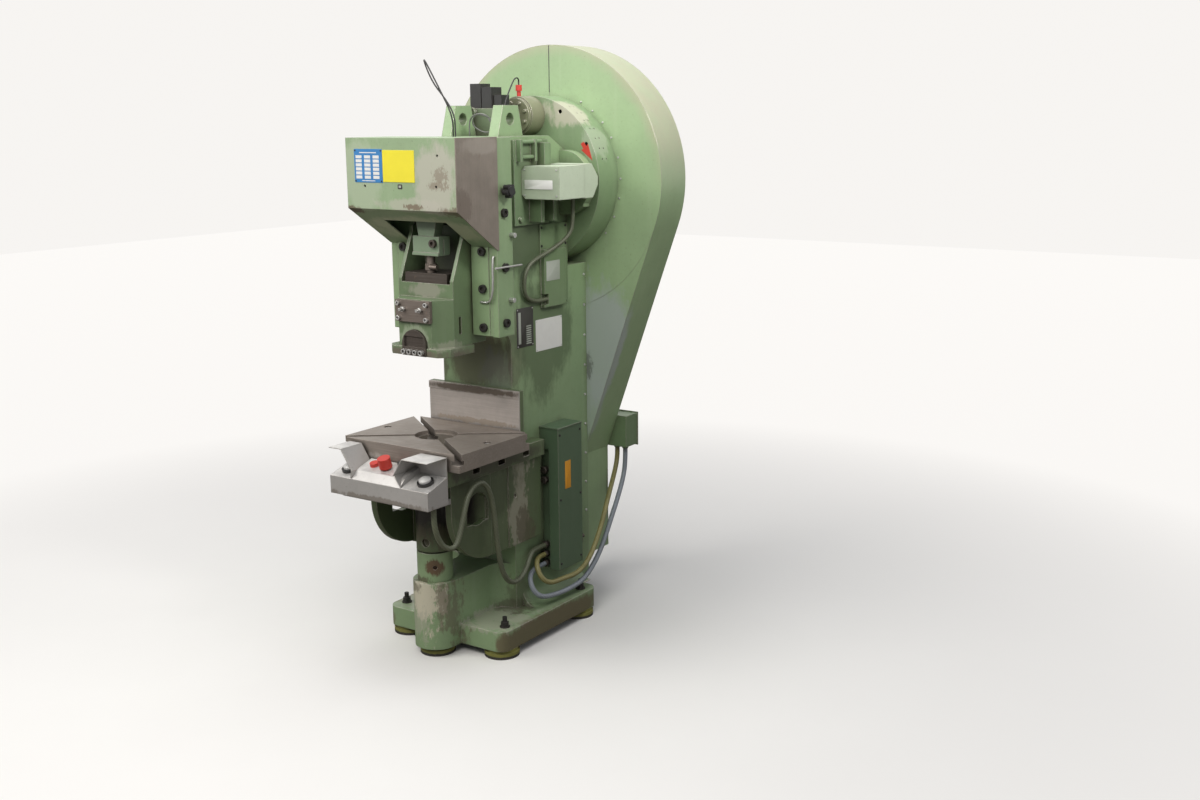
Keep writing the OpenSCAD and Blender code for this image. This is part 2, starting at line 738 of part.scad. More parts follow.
module motor_pulley() {
    y0 = belt_y - 14;
    color(dark_steel) translate([0, 0, motor_z]) rotate([-90, 0, 0]) difference() {
        union() {
            translate([0, 0, y0]) cylinder(r = pulley_r, h = 72);
            translate([0, 0, motor_front + 6]) cylinder(r = motor_shaft_r, h = y0 + 84 - motor_front - 6);
        }
        for (g = groove_y) translate([0, 0, belt_y + g - belt_w / 2 - 0.5]) difference() {
            cylinder(r = pulley_r + 1, h = belt_w + 1);
            cylinder(r = pulley_r - groove_d, h = belt_w + 1);
        }
    }
}

// Outline of the flywheel guard: circle, straight taper and a square lower box, drawn inset by i
module guard_outline(i) {
    r = guard_r - i;
    w = guard_low_w - i;
    z1 = shaft_z - (r - cos(taper) * w) / sin(taper);
    translate([0, shaft_z]) circle(r);
    polygon([[r * cos(taper), shaft_z - r * sin(taper)], [w, z1], [w, guard_low_z + i],
        [-w, guard_low_z + i], [-w, z1], [-r * cos(taper), shaft_z - r * sin(taper)]]);
}
module guard_front_half(s) {
    color(paint) front_plate(guard_y0, guard_y0 + sheet) difference() {
        guard_outline(0);
        translate([0, shaft_z]) circle(drum_r - sheet);
        translate([0, motor_z]) circle(24);
        translate([s > 0 ? -600.5 : -0.5, 0]) square([601, 2200]);
    }
}
module guard_left() {
    guard_front_half(-1);
}
module guard_right() {
    guard_front_half(1);
}
module guard_back() {
    color(paint) {
        front_plate(guard_y0 + sheet, guard_y1) difference() {
            guard_outline(0);
            guard_outline(sheet);
        }
        front_plate(guard_y1 - sheet, guard_y1) difference() {
            guard_outline(0.5);
            for (k = [-3:3], s = [-1, 1]) translate([s * 62 - 40, 330 + 26 * k]) square([80, 8]);
            for (k = [0:11]) translate([0, shaft_z]) rotate(30 * k) translate([150, -4]) square([60, 8]);
        }
    }
}
module drum_cover() {
    color(paint) difference() {
        union() {
            difference() {
                rod_y(drum_r, 0, shaft_z, drum_y, guard_y0);
                rod_y(drum_r - sheet, 0, shaft_z, drum_y + sheet, guard_y0 + 1);
            }
        }
        rod_y(shaft_dia / 2 + bush_t, 0, shaft_z, drum_y - 1, drum_y + sheet + 1);
        for (s = [-1, 1], k = [0:6], y = [36, 60])
            rotate_hole(s > 0 ? 15 + 7.5 * k : 165 - 7.5 * k, drum_y + y);
        for (a = [28, 61, 90, 119, 152])
            rod_y(7, 270 * cos(a), shaft_z + 270 * sin(a), drum_y - 1, drum_y + sheet + 1);
    }
}
module rotate_hole(a, y) {
    translate([0, y, shaft_z]) rotate([0, -a, 0]) rod_x(3, 0, 0, drum_r - 10, drum_r + 5);
}
module chain_cover() {
    color(paint) front_plate(drum_y - 35, drum_y) intersection() {
        union() {
            translate([165, 1562]) circle(110);
            translate([side_x, 1480]) square([100, 82]);
        }
        translate([side_x, 1400]) square([200, 400]);
    }
}

// Sheet box in front of the eccentric, open below in the middle for the connecting rod
module fguard_profile(i) {
    polygon([[fguard_front + i, fguard_top - i], [fguard_rear + i, fguard_top - i],
        [fguard_rear + i, fguard_low + i], [housing_front, fguard_low + i],
        [fguard_front + i, fguard_mid + i * 0.6]]);
}
module front_guard() {
    color(paint) difference() {
        side_plate(-fguard_x - sheet, fguard_x) fguard_profile(0);
        side_plate(-fguard_x, fguard_x + 1) fguard_profile(sheet);
        span(-fguard_x, fguard_x + 1, housing_front, fguard_rear + 1, fguard_low - 1, head_top);
        span(-130, 130, fguard_front + 60, fguard_rear + 1, fguard_low - 1, fguard_mid - 20);
        span(-gib_out - 1, gib_out + 1, housing_front - gib_proud - 0.5, fguard_rear, fguard_low - 1, gib_top + 1);
        front_plate(fguard_front - 1, fguard_front + 30)
            for (p = [[-151, 1574], [146, 1577], [154, 1671]]) translate(p) circle(4);
    }
}
module front_guard_side() {
    color(dark_steel) side_plate(fguard_x, fguard_x + sheet) polygon([[fguard_front, fguard_top],
        [fguard_rear, fguard_top], [fguard_rear, fguard_low - 6], [housing_front, fguard_low - 6],
        [fguard_front, fguard_mid]]);
}
module guard_knob() {
    x = housing_w / 2;
    color(black) translate([x, -186, 1556]) rotate([0, 90, 0]) {
        cylinder(r = 8, h = 22);
        translate([0, 0, 12]) cylinder(r = 15, h = 26);
        for (k = [0:4]) rotate(72 * k) translate([15, 0, 14]) cylinder(r = 8, h = 20);
    }
}

// Cam switch box with its eight-sided end on the side of the column
module switch_box() {
    ymid = switch_y0 + switch_seam;
    color(paint_dark) {
        difference() {
            span(side_x + 10, switch_x1, switch_y0, ymid + 1, switch_z0, switch_z1);
            for (z = [switch_z0, switch_z1]) translate([side_x + 10, switch_y0 - 1, z]) rotate([-90, 0, 0])
                cylinder(r = 14, h = switch_seam + 2, $fn = 4);
        }
        side_plate(side_x + 20, switch_x1 - 4) polygon([[ymid, switch_z0 - 2], [ymid, switch_z1 + 2],
            [switch_y1 - 36, switch_z1 + 4], [switch_y1, switch_z1 - 40], [switch_y1, switch_z0 + 40],
            [switch_y1 - 30, switch_z0 - 2]]);
    }
    color(silver) span(side_x + 22, side_x + 130, switch_y0 - 1, switch_y0, 1552, 1580);
}
module switch_bracket() {
    color(paint_dark) {
        span(side_x, side_x + 10, -40, 150, 1430, 1710);
        span(side_x + 9, side_x + 60, 40, 58, 1440, switch_z0);
        span(side_x + 9, side_x + 60, 110, 128, 1440, switch_z0);
        span(side_x + 9, side_x + 44, 84, 120, switch_z1, 1700);
    }
    color(dark_steel) {
        for (z = [1655, 1704]) rod_y(7, side_x + 20, z, -24, z > 1700 ? 96 : 50);
        for (y = [-28, 52]) span(side_x + 9, side_x + 30, y, y + 12, 1640, 1712);
        for (p = [[-10, 1450], [130, 1450]]) rod_x(10, p[0], p[1], side_x + 10, side_x + 18);
    }
}

module valve_block() {
    color(paint_dark) span(-112, 20, valve_y, valve_y + 70, head_top, head_top + 92);
    color(dark_steel) {
        rod_y(10, -90, head_top + 80, valve_y - 6, valve_y + 1);
        rod_y(15, -90, head_top + 80, valve_y - 16, valve_y - 6);
    }
}
module valve_coils() {
    z = head_top + 92;
    color(black) {
        span(-110, -64, valve_y + 6, valve_y + 58, z, z + 82);
        span(-60, -18, valve_y + 6, valve_y + 62, z, z + 70);
        span(-14, 18, valve_y + 14, valve_y + 58, z, z + 44);
    }
}
module air_chamber() {
    color(paint_dark) {
        rod_y(66, 0, chamber_z, drum_y - 72, drum_y);
        rod_y(60, 0, chamber_z, drum_y - 84, drum_y - 71);
        rod_y(20, 0, chamber_z, drum_y - 104, drum_y - 83);
        for (k = [0:7])
            rod_y(6, 46 * cos(45 * k + 20), chamber_z + 46 * sin(45 * k + 20), drum_y - 92, drum_y - 83);
    }
}
module pressure_switch() {
    color([0.8, 0.25, 0.2]) translate([0, drum_y - 60, chamber_z + 66]) {
        cylinder(r = 7, h = 24);
        translate([0, 0, 18]) cylinder(r = 11, h = 20);
    }
}

// Hand console across the front of the table
function end_z(y) = lip_z + (y - console_y0) * end_rise / console_d;
function deck_z(y) = deck_z0 + (y - console_y0 - crease_y) * (deck_z1 - deck_z0) / (console_d - crease_y);
module console_body() {
    w = console_w / 2;
    color(silver) difference() {
        union() {
            side_plate(-w, w) polygon([[console_y0, console_z0], [console_y1, console_z0],
                [console_y1, end_z(console_y1)], [console_y0, lip_z]]);
            side_plate(deck_x0, deck_x) deck_outline();
            both() span(cheek_x - cheek_t, cheek_x, console_y0 + 36, arc_y - arc_r, console_z0 - 16, console_z0 + 1);
            span(-190, cheek_x, console_y0 + 36, console_y0 + 62, console_z0 - 16, console_z0 + 1);
        }
        for (s = [-1, 1]) on_end(s * palm_x, -20) cylinder(r = 12 + shaft_gap, h = 40);
        on_deck(start_x, -514, -12) cylinder(r = 15 + shaft_gap, h = 30);
        on_deck(stop_x, -520, -20) cylinder(r = 12 + shaft_gap, h = 40);
        on_deck(30, -492, -6) cylinder(r = 13 + shaft_gap, h = 30, $fn = 96);
    }
}
module hood_outline(top_x, fold_x, fold_z, lip_x, t) {
    w = console_w / 2;
    polygon([[w, hood_z], [top_x, hood_z], [fold_x, fold_z], [lip_x, lip_z + 2], [lip_x + t * 1.2, lip_z + 2],
        [fold_x + t * 1.5, fold_z], [top_x + t * 0.6, hood_z - t], [w, hood_z - t]]);
}
module hood(top_x, fold_x, fold_z, lip_x) {
    t = 2.5;
    z = end_z(console_y1) - 2;
    front_plate(console_y0, console_y1) hood_outline(top_x, fold_x, fold_z, lip_x, t);
    front_plate(console_y1 - t, console_y1) polygon([[console_w / 2, hood_z - 1], [top_x + 1, hood_z - 1],
        [fold_x + 2, fold_z], [lip_x, z], [console_w / 2, z]]);
}
module console_hoods() {
    color(silver) difference() {
        union() {
            hood(103, 67, 688, deck_x);
            mirror([1, 0, 0]) hood(156, 111, 677, -deck_x0);
        }
        console_mass();
    }
}
module console_mass() {
    side_plate(-console_w, console_w) polygon([[console_y0, console_z0], [console_y1, console_z0],
        [console_y1, end_z(console_y1)], [console_y0, lip_z]]);
    side_plate(deck_x0, deck_x) deck_outline();
}
module deck_outline() {
    polygon([[console_y0, console_z0 + 1], [console_y1, console_z0 + 1],
        [console_y1, deck_z1], [console_y0 + crease_y, deck_z0], [console_y0, lip_z]]);
}
module on_end(x, lift) {
    translate([x, palm_y, end_z(palm_y)]) rotate([end_tilt, 0, 0]) translate([0, 0, lift]) children();
}
module palm_button_left() {
    color(silver) on_end(-palm_x, -10) palm_cap();
}
module palm_button_right() {
    color(silver) on_end(palm_x, -10) palm_cap();
}
module palm_rings() {
    color(black) for (s = [-1, 1]) on_end(s * palm_x, 0) difference() {
        cylinder(r = 27, h = 9);
        translate([0, 0, -1]) cylinder(r = 21, h = 12);
    }
}
module palm_cap() {
    cylinder(r = 12, h = 21);
    translate([0, 0, 19]) cylinder(r = 20, h = 7);
    translate([0, 0, 26]) rotate_extrude() intersection() {
        square([20, 8]);
        translate([0, -21]) circle(29);
    }
}
module on_deck(x, y, lift) {
    translate([x, y, deck_z(y)]) rotate([deck_tilt, 0, 0]) translate([0, 0, lift]) children();
}
module start_button() {
    color([0.8, 0.2, 0.15]) on_deck(start_x, -514, -6) cylinder(r = 15, h = 17);
}
module stop_button() {
    color([0.8, 0.15, 0.1]) on_deck(stop_x, -520, -10) {
        cylinder(r = 12, h = 18);
        translate([0, 0, 16]) cylinder(r = 21, h = 34);
    }
}
module key_switch() {
    color(black) on_deck(30, -492, -6) difference() {
        cylinder(r = 13, h = 20);
        translate([0, 0, 17]) cube([4, 18, 10], center = true);
    }
}

module duct_box() {
    z1 = duct_z0 + duct_h;
    color(paint_dark) {
        difference() {
            span(side_x, duct_x1, duct_y0, duct_y1, duct_z0, z1);
            span(side_x - 1, side_x + 38, duct_y0 - 1, duct_y0 + 14, duct_z0 - 1, z1 - 76);
        }
        span(side_x, duct_x1 + 2, duct_y0 - 2, duct_y1 + 2, z1 - 1, z1 + 4);
    }
}
module cable_glands() {
    color(dark_steel) for (z = [228, 262, 296, 534, 570]) {
        rod_y(11, gland_x, z, gland_y, duct_y0 + 14);
        translate([gland_x, duct_y0 + 2, z]) rotate([90, 0, 0]) cylinder(r = 14, h = 8, $fn = 6);
    }
}
module terminal_box() {
    color(paint_dark) {
        span(96, 214, guard_y1, guard_y1 + 76, 560, 680);
        span(92, 218, guard_y1 + 76, guard_y1 + 80, 556, 684);
        for (x = [150, 186]) translate([x, 582, 548]) cylinder(r = 13, h = 13, $fn = 6);
    }
}
module air_unit() {
    x = side_x + 40;
    color(dark_steel) {
        span(side_x + 14, duct_x1 - 22, duct_y1, duct_y1 + 34, 262, 300);
        translate([x, duct_y1 + 17, 212]) cylinder(r = 15, h = 51);
        translate([x, duct_y1 + 17, 299]) cylinder(r = 11, h = 20);
        rod_y(7, duct_x1 - 34, 282, duct_y1 + 33, duct_y1 + 52);
    }
}

// Conduits and cables along their routes
module console_conduit() {
    color(paint_dark) tube(smooth(console_route, 5), 9);
}
module motor_conduit() {
    color([0.6, 0.58, 0.3]) tube(smooth(motor_route, 5), 9);
}
module sensor_conduit() {
    color([0.6, 0.62, 0.66]) tube(smooth(sensor_route, 5), 9);
}
module switch_conduit() {
    color(black) tube(smooth(switch_route, 6), 7);
}
module loop_cable() {
    color(black) tube(smooth(loop_route, 8), 2.5);
}
module valve_wires() {
    color([0.5, 0.5, 0.5]) tube(smooth(wire_route, 5), 2.5);
}
module air_hose() {
    color(black) tube(smooth(hose_route, 8), 2.5);
}
module lube_pipes() {
    color(steel) {
        tube(smooth(pipe_route, 4), 3.5);
        rod_y(3.5, housing_w / 2 + 14, 1315, -250, -114);
        both() for (p = [[-150, 1413], [-160, 1204]]) rod_x(8, p[0], p[1], housing_w / 2, housing_w / 2 + 18);
    }
}

frame_casting();
foot_pads();
foot_studs();
side_cover();
knee_casting();
bolster_plate();
throat_plate();
jack_spindle();
adjusting_nut();
slide_casting();
slide_cap_plate();
slide_bolts();
shank_clamp();
ball_retainer();
ball_screw();
connecting_rod();
rod_clamp_bolt();
eccentric_shaft();
shaft_bushes();
gib_strips();
gib_bolts();
flywheel();
clutch_hub();
v_belts();
motor();
motor_pulley();
guard_left();
guard_right();
guard_back();
drum_cover();
chain_cover();
front_guard();
front_guard_side();
guard_knob();
switch_box();
switch_bracket();
valve_block();
valve_coils();
air_chamber();
pressure_switch();
air_unit();
console_body();
console_hoods();
palm_button_left();
palm_button_right();
palm_rings();
start_button();
stop_button();
key_switch();
duct_box();
cable_glands();
terminal_box();
console_conduit();
motor_conduit();
sensor_conduit();
switch_conduit();
loop_cable();
valve_wires();
air_hose();
lube_pipes();
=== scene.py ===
import math

import bmesh
import bpy
from mathutils import Matrix, Vector


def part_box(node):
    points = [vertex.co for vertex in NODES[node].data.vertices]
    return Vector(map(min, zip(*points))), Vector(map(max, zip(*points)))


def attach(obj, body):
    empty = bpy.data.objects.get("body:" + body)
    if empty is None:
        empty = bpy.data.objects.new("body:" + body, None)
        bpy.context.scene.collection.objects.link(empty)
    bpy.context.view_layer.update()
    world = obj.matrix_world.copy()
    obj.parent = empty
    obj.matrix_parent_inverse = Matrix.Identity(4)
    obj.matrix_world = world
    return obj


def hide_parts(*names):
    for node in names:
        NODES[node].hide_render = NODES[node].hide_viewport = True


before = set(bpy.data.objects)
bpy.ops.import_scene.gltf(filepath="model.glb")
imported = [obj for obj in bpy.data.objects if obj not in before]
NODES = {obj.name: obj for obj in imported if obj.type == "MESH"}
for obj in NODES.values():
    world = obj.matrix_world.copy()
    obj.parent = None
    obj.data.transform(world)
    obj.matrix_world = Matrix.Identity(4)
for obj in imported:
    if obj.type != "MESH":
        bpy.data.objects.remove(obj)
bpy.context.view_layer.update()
MM = 0.001

# Camera, solved from the photograph's perspective lines
CAM_POS = Vector((2.892, -3.596, 1.793))
CAM_YAW = 34.02      # degrees from +Y towards -X
CAM_PITCH = -12.01
CAM_ROLL = -0.50
FOCAL_PX = 1346.3
PHOTO_W = 1200.0
SENSOR = 36.0


def face(node, side):
    """Place of one side of a node's box in millimetres; side is such as +x or -y."""
    low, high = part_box(node)
    corner = high if side[0] == "+" else low
    return round(corner["xyz".index(side[1])] / MM, 2)


# Places on the frame, in millimetres
COL_X = face("side_cover", "-x")            # flat right side of the column
GUARD_FRONT = face("front_guard", "-y")
DRUM_FRONT = face("drum_cover", "-y")
GUARD_FACE = face("guard_left", "-y")       # front face of the flywheel guard
GUARD_BACK = face("guard_back", "+y")
TERMINAL_BACK = face("terminal_box", "+y")
SWITCH_FRONT = face("switch_box", "-y")
DUCT_X = face("duct_box", "+x") - 2.0       # the lid of the duct stands 2 mm proud of its face
TABLE_Z = face("bolster_plate", "+z")
SHAFT_Z = (face("flywheel", "-z") + face("flywheel", "+z")) / 2
EDGE_SCREW_Y = GUARD_FACE - 14.0            # row of screws along the rear edge of the column
RIM_SCREW_R = face("drum_cover", "+x") + 10.0
BACK_SCREW_R = face("guard_left", "+z") - SHAFT_Z - 20.0


# Camera and cords

def place_camera():
    cam = bpy.data.objects.new("Camera", bpy.data.cameras.new("Camera"))
    bpy.context.scene.collection.objects.link(cam)
    turn = (Matrix.Rotation(math.radians(CAM_YAW), 4, "Z")
            @ Matrix.Rotation(math.radians(90 + CAM_PITCH), 4, "X")
            @ Matrix.Rotation(math.radians(CAM_ROLL), 4, "Z"))
    cam.matrix_world = Matrix.Translation(CAM_POS) @ turn
    cam.data.sensor_width = SENSOR
    cam.data.lens = FOCAL_PX * SENSOR / PHOTO_W
    cam.data.clip_end = 60
    bpy.context.scene.camera = cam


def smooth_route(points, steps):
    """The route rounded as in the CAD: a quadratic bend at each inner point."""
    pts = [Vector(p) for p in points]
    out = [pts[0]]
    for i in range(1, len(pts) - 1):
        a, b, c = (pts[i - 1] + pts[i]) / 2, pts[i], (pts[i] + pts[i + 1]) / 2
        for k in range(0 if i == 1 else 1, steps + 1):
            t = k / steps
            out.append((1 - t) ** 2 * a + 2 * t * (1 - t) * b + t * t * c)
    out.append(pts[-1])
    return [p * MM for p in out]


def make_cord(name, node, points, steps, radius):
    path = smooth_route(points, steps)
    curve = bpy.data.curves.new(name, "CURVE")
    curve.dimensions = "3D"
    curve.bevel_depth = 1.0
    curve.bevel_resolution = 5
    curve.use_fill_caps = True
    spline = curve.splines.new("POLY")
    spline.points.add(len(path) - 1)
    for p, q in zip(spline.points, path):
        p.co = (*q, 1.0)
        p.radius = radius * MM
    spline.use_smooth = True
    cord = bpy.data.objects.new(name, curve)
    bpy.context.scene.collection.objects.link(cord)
    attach(cord, "frame")
    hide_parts(node)
    return cord


GLAND_X = 168
CONSOLE_ROUTE = [(190, -530, 590.7), (190, -530, 520), (196, -500, 450), (210, -448, 436),
                 (214, -420, 520), (216, -390, 610), (216, -330, 636), (216, -285, 600), (216, -262, 520),
                 (216, -250, 400), (212, -222, 290), (204, -165, 232), (196, -100, 228), (184, -46, 256),
                 (172, -6, 296), (GLAND_X, 40, 296), (GLAND_X, 78, 296)]
MOTOR_ROUTE = [(GLAND_X, 78, 262), (GLAND_X, 38, 262), (188, 2, 246), (212, -4, 206), (226, 30, 178),
               (226, 110, 174), (236, 190, 172), (240, 262, 212), (220, 365, 302), (190, 455, 384),
               (166, 522, 430), (150, 574, 480), (150, 582, 520), (150, 582, 548)]
SENSOR_ROUTE = [(GLAND_X, 78, 228), (GLAND_X, 26, 228), (180, -30, 218), (204, -46, 176), (222, -22, 142),
                (228, 50, 130), (234, 140, 128), (240, 220, 140), (234, 310, 190), (220, 385, 245),
                (206, 450, 305), (194, 520, 375), (186, 574, 450), (186, 582, 510), (186, 582, 548)]
SWITCH_ROUTE = [(235, 185, 1515.7), (235, 185, 1450), (232, 178, 1390), (190, 120, 1340),
                (170, 0, 1300), (163, -10, 1200), (162, 50, 1168), (162, 127, 1170)]
LOOP_ROUTE = [(65, -230, 1725), (65, -230, 1790), (10, -230, 1880), (-60, -230, 1990),
              (-20, -230, 1900), (40, -230, 1840), (74, -230, 1790), (74, -230, 1725)]
WIRE_ROUTE = [(-40, -20, 1722), (-40, -20, 1790), (40, -30, 1800), (60, 0, 1745), (0, 10, 1730),
              (-50, 0, 1760), (-20, -10, 1800), (50, -10, 1780), (50, 16, 1745), (10, 16, 1780),
              (10, 30, 1780)]
HOSE_ROUTE = [(40, 60, 1722), (40, 60, 1810), (40, 110, 1890), (10, 170, 1915), (0, 204, 1915),
              (0, 204, 1891.7)]


def make_cords():
    return {
        "conduit_old": [make_cord("console_hose", "console_conduit", CONSOLE_ROUTE, 5, 9),
                        make_cord("switch_hose", "switch_conduit", SWITCH_ROUTE, 6, 7)],
        "conduit_olive": [make_cord("motor_hose", "motor_conduit", MOTOR_ROUTE, 5, 9)],
        "conduit_grey": [make_cord("sensor_hose", "sensor_conduit", SENSOR_ROUTE, 5, 9)],
        "cable_black": [make_cord("loop_wire", "loop_cable", LOOP_ROUTE, 8, 2.5),
                        make_cord("air_line", "air_hose", HOSE_ROUTE, 8, 2.5)],
        "cable_grey": [make_cord("valve_wire", "valve_wires", WIRE_ROUTE, 5, 2.5)],
    }


place_camera()
cords = make_cords()


# Node helpers

def feed(tree, node, inputs):
    """Give each named input of a node a link or a value."""
    for key, value in inputs.items():
        socket = node.inputs[key]
        if isinstance(value, bpy.types.NodeSocket):
            tree.links.new(value, socket)
        else:
            socket.default_value = value


def add(tree, kind, inputs=None, **settings):
    node = tree.nodes.new(kind)
    for key, value in settings.items():
        setattr(node, key, value)
    feed(tree, node, inputs or {})
    return node


def math_node(tree, operation, a, b=0.0, clamp=False):
    return add(tree, "ShaderNodeMath", {0: a, 1: b}, operation=operation, use_clamp=clamp).outputs[0]


def vector_node(tree, operation, a, b=(0, 0, 0)):
    node = add(tree, "ShaderNodeVectorMath", {0: a, 1: b}, operation=operation)
    return node.outputs["Value"] if operation in ("LENGTH", "DOT_PRODUCT") else node.outputs["Vector"]


def remap(tree, value, low, high, to_low=0.0, to_high=1.0):
    return add(tree, "ShaderNodeMapRange", {0: value, 1: low, 2: high, 3: to_low, 4: to_high}).outputs[0]


def mix(tree, factor, a, b, blend="MIX"):
    node = add(tree, "ShaderNodeMix", {}, data_type="RGBA", blend_type=blend)
    feed(tree, node, {0: factor, 6: a, 7: b})
    return node.outputs[2]


def noise(tree, vector, scale, detail=4.0, rough=0.55):
    return add(tree, "ShaderNodeTexNoise", {"Vector": vector, "Scale": scale, "Detail": detail,
                                            "Roughness": rough}).outputs["Fac"]


def stretched(tree, vector, scale):
    return add(tree, "ShaderNodeMapping", {"Vector": vector, "Scale": scale}).outputs["Vector"]


def new_group(name, inputs, outputs):
    tree = bpy.data.node_groups.new(name, "ShaderNodeTree")
    for socket_name, kind, default in inputs:
        socket = tree.interface.new_socket(socket_name, in_out="INPUT", socket_type=kind)
        if default is not None:
            socket.default_value = default
    for socket_name, kind in outputs:
        tree.interface.new_socket(socket_name, in_out="OUTPUT", socket_type=kind)
    return tree, tree.nodes.new("NodeGroupInput").outputs, tree.nodes.new("NodeGroupOutput").inputs


FLOAT, VECTOR, COLOR = "NodeSocketFloat", "NodeSocketVector", "NodeSocketColor"


def rgb(r, g, b):
    return (r, g, b, 1.0)


def shade(tree, color, level):
    """A colour times a level, which may be a number or a socket."""
    if not isinstance(level, bpy.types.NodeSocket):
        level = rgb(level, level, level)
    return mix(tree, 1.0, color, level, "MULTIPLY")


# Shared effects

def group_edge_wear():
    """Mask of edges rubbed bare, from the turn of the normal over a small radius."""
    t, i, o = new_group("EdgeWear", [("Vector", VECTOR, None), ("Radius", FLOAT, 0.004),
                                     ("Amount", FLOAT, 0.5), ("Scale", FLOAT, 40.0)],
                        [("Mask", FLOAT), ("Normal", VECTOR)])
    bevel = add(t, "ShaderNodeBevel", {"Radius": i["Radius"]}, samples=4)
    geometry = add(t, "ShaderNodeNewGeometry")
    facing = vector_node(t, "DOT_PRODUCT", bevel.outputs[0], geometry.outputs["Normal"])
    edge = remap(t, facing, 0.995, 0.80)
    ragged = noise(t, i["Vector"], i["Scale"], 6.0, 0.7)
    level = math_node(t, "SUBTRACT", 1.0, i["Amount"])
    worn = math_node(t, "SUBTRACT", math_node(t, "ADD", edge, math_node(t, "MULTIPLY", ragged, 0.9)), level)
    t.links.new(remap(t, math_node(t, "MULTIPLY", worn, edge), 0.42, 0.62), o["Mask"])
    t.links.new(bevel.outputs[0], o["Normal"])
    return t


def group_patch():
    """Mask of a ragged patch round a point of the row frame."""
    t, i, o = new_group("Patch", [("Vector", VECTOR, None), ("Centre", VECTOR, (0, 0, 0)),
                                  ("Reach", VECTOR, (0.1, 0.1, 0.1)), ("Ragged", FLOAT, 0.6),
                                  ("Scale", FLOAT, 25.0)], [("Mask", FLOAT)])
    away = vector_node(t, "DIVIDE", vector_node(t, "SUBTRACT", i["Vector"], i["Centre"]), i["Reach"])
    distance = vector_node(t, "LENGTH", away)
    runs = stretched(t, i["Vector"], (1.0, 1.0, 0.45))
    fine = noise(t, runs, math_node(t, "MULTIPLY", i["Scale"], 5.0), 5.0, 0.7)
    broken = math_node(t, "ADD", noise(t, runs, i["Scale"], 7.0, 0.7), math_node(t, "MULTIPLY", fine, 0.55))
    rough = math_node(t, "MULTIPLY", math_node(t, "SUBTRACT", broken, 0.775),
                      math_node(t, "MULTIPLY", i["Ragged"], 3.0))
    edge = math_node(t, "SUBTRACT", math_node(t, "ADD", distance, rough), 1.0)
    t.links.new(remap(t, edge, 0.0, -0.3), o["Mask"])
    return t


def group_grime_and_shade():
    """Dirt and painted shade that gather in corners, where ambient occlusion finds them, and dirt that runs
    down in streaks.
    """
    t, i, o = new_group("GrimeAndShade", [("Vector", VECTOR, None), ("Reach", FLOAT, 0.05),
                                  ("Streaks", FLOAT, 0.4)], [("Corners", FLOAT), ("Streaks", FLOAT)])
    # ambient occlusion: corners and recesses darken as painted shade, broken by spots of dirt
    ao = add(t, "ShaderNodeAmbientOcclusion", {"Distance": i["Reach"]}, samples=4)
    spots = noise(t, i["Vector"], 18.0, 5.0, 0.6)
    corner = math_node(t, "ADD", math_node(t, "SUBTRACT", 1.0, ao.outputs["AO"]),
                       math_node(t, "MULTIPLY", math_node(t, "SUBTRACT", spots, 0.5), 0.7))
    t.links.new(remap(t, corner, 0.25, 0.9), o["Corners"])
    runs = noise(t, stretched(t, i["Vector"], (26.0, 26.0, 1.6)), 1.0, 5.0, 0.6)
    t.links.new(math_node(t, "MULTIPLY", remap(t, runs, 0.52, 0.78), i["Streaks"]), o["Streaks"])
    return t


def group_dust_and_highlight():
    """Dust that settles in a broken film on what faces up; in a near-white colour it is a painted highlight
    on upward faces.
    """
    t, i, o = new_group("DustAndHighlight", [("Clouds", FLOAT, 0.5), ("Amount", FLOAT, 0.2)], [("Mask", FLOAT)])
    normal = add(t, "ShaderNodeNewGeometry").outputs["Normal"]
    up = add(t, "ShaderNodeSeparateXYZ", {0: normal}).outputs["Z"]
    film = math_node(t, "MULTIPLY", remap(t, up, 0.6, 0.95), remap(t, i["Clouds"], 0.35, 0.6))
    t.links.new(math_node(t, "MULTIPLY", film, i["Amount"]), o["Mask"])
    return t


def group_grain():
    """Fine grain of a surface, as a height."""
    t, i, o = new_group("Grain", [("Vector", VECTOR, None), ("Scale", FLOAT, 300.0)], [("Height", FLOAT)])
    t.links.new(noise(t, i["Vector"], i["Scale"], 2.0), o["Height"])
    return t


def group_paint_film():
    """Old machine paint: broad, cloudy and fine shades of one colour, and its dark specks."""
    t, i, o = new_group("PaintFilm", [("Vector", VECTOR, None), ("Paint", COLOR, rgb(0.5, 0.5, 0.5))],
                        [("Color", COLOR), ("Clouds", FLOAT), ("Specks", FLOAT)])
    paint = i["Paint"]
    broad = noise(t, i["Vector"], 2.6, 3.0)
    tone = mix(t, remap(t, broad, 0.3, 0.7), shade(t, paint, 0.88), shade(t, paint, 1.10))
    clouds = noise(t, i["Vector"], 14.0, 5.0, 0.6)
    tone = mix(t, remap(t, clouds, 0.45, 0.8, 0.0, 0.35), tone, shade(t, paint, 0.80))
    fine = noise(t, i["Vector"], 70.0, 3.0, 0.6)
    tone = mix(t, remap(t, fine, 0.5, 0.85, 0.0, 0.25), tone, shade(t, paint, 0.7))
    t.links.new(tone, o["Color"])
    t.links.new(clouds, o["Clouds"])
    t.links.new(remap(t, noise(t, i["Vector"], 160.0, 2.0), 0.68, 0.72), o["Specks"])
    return t


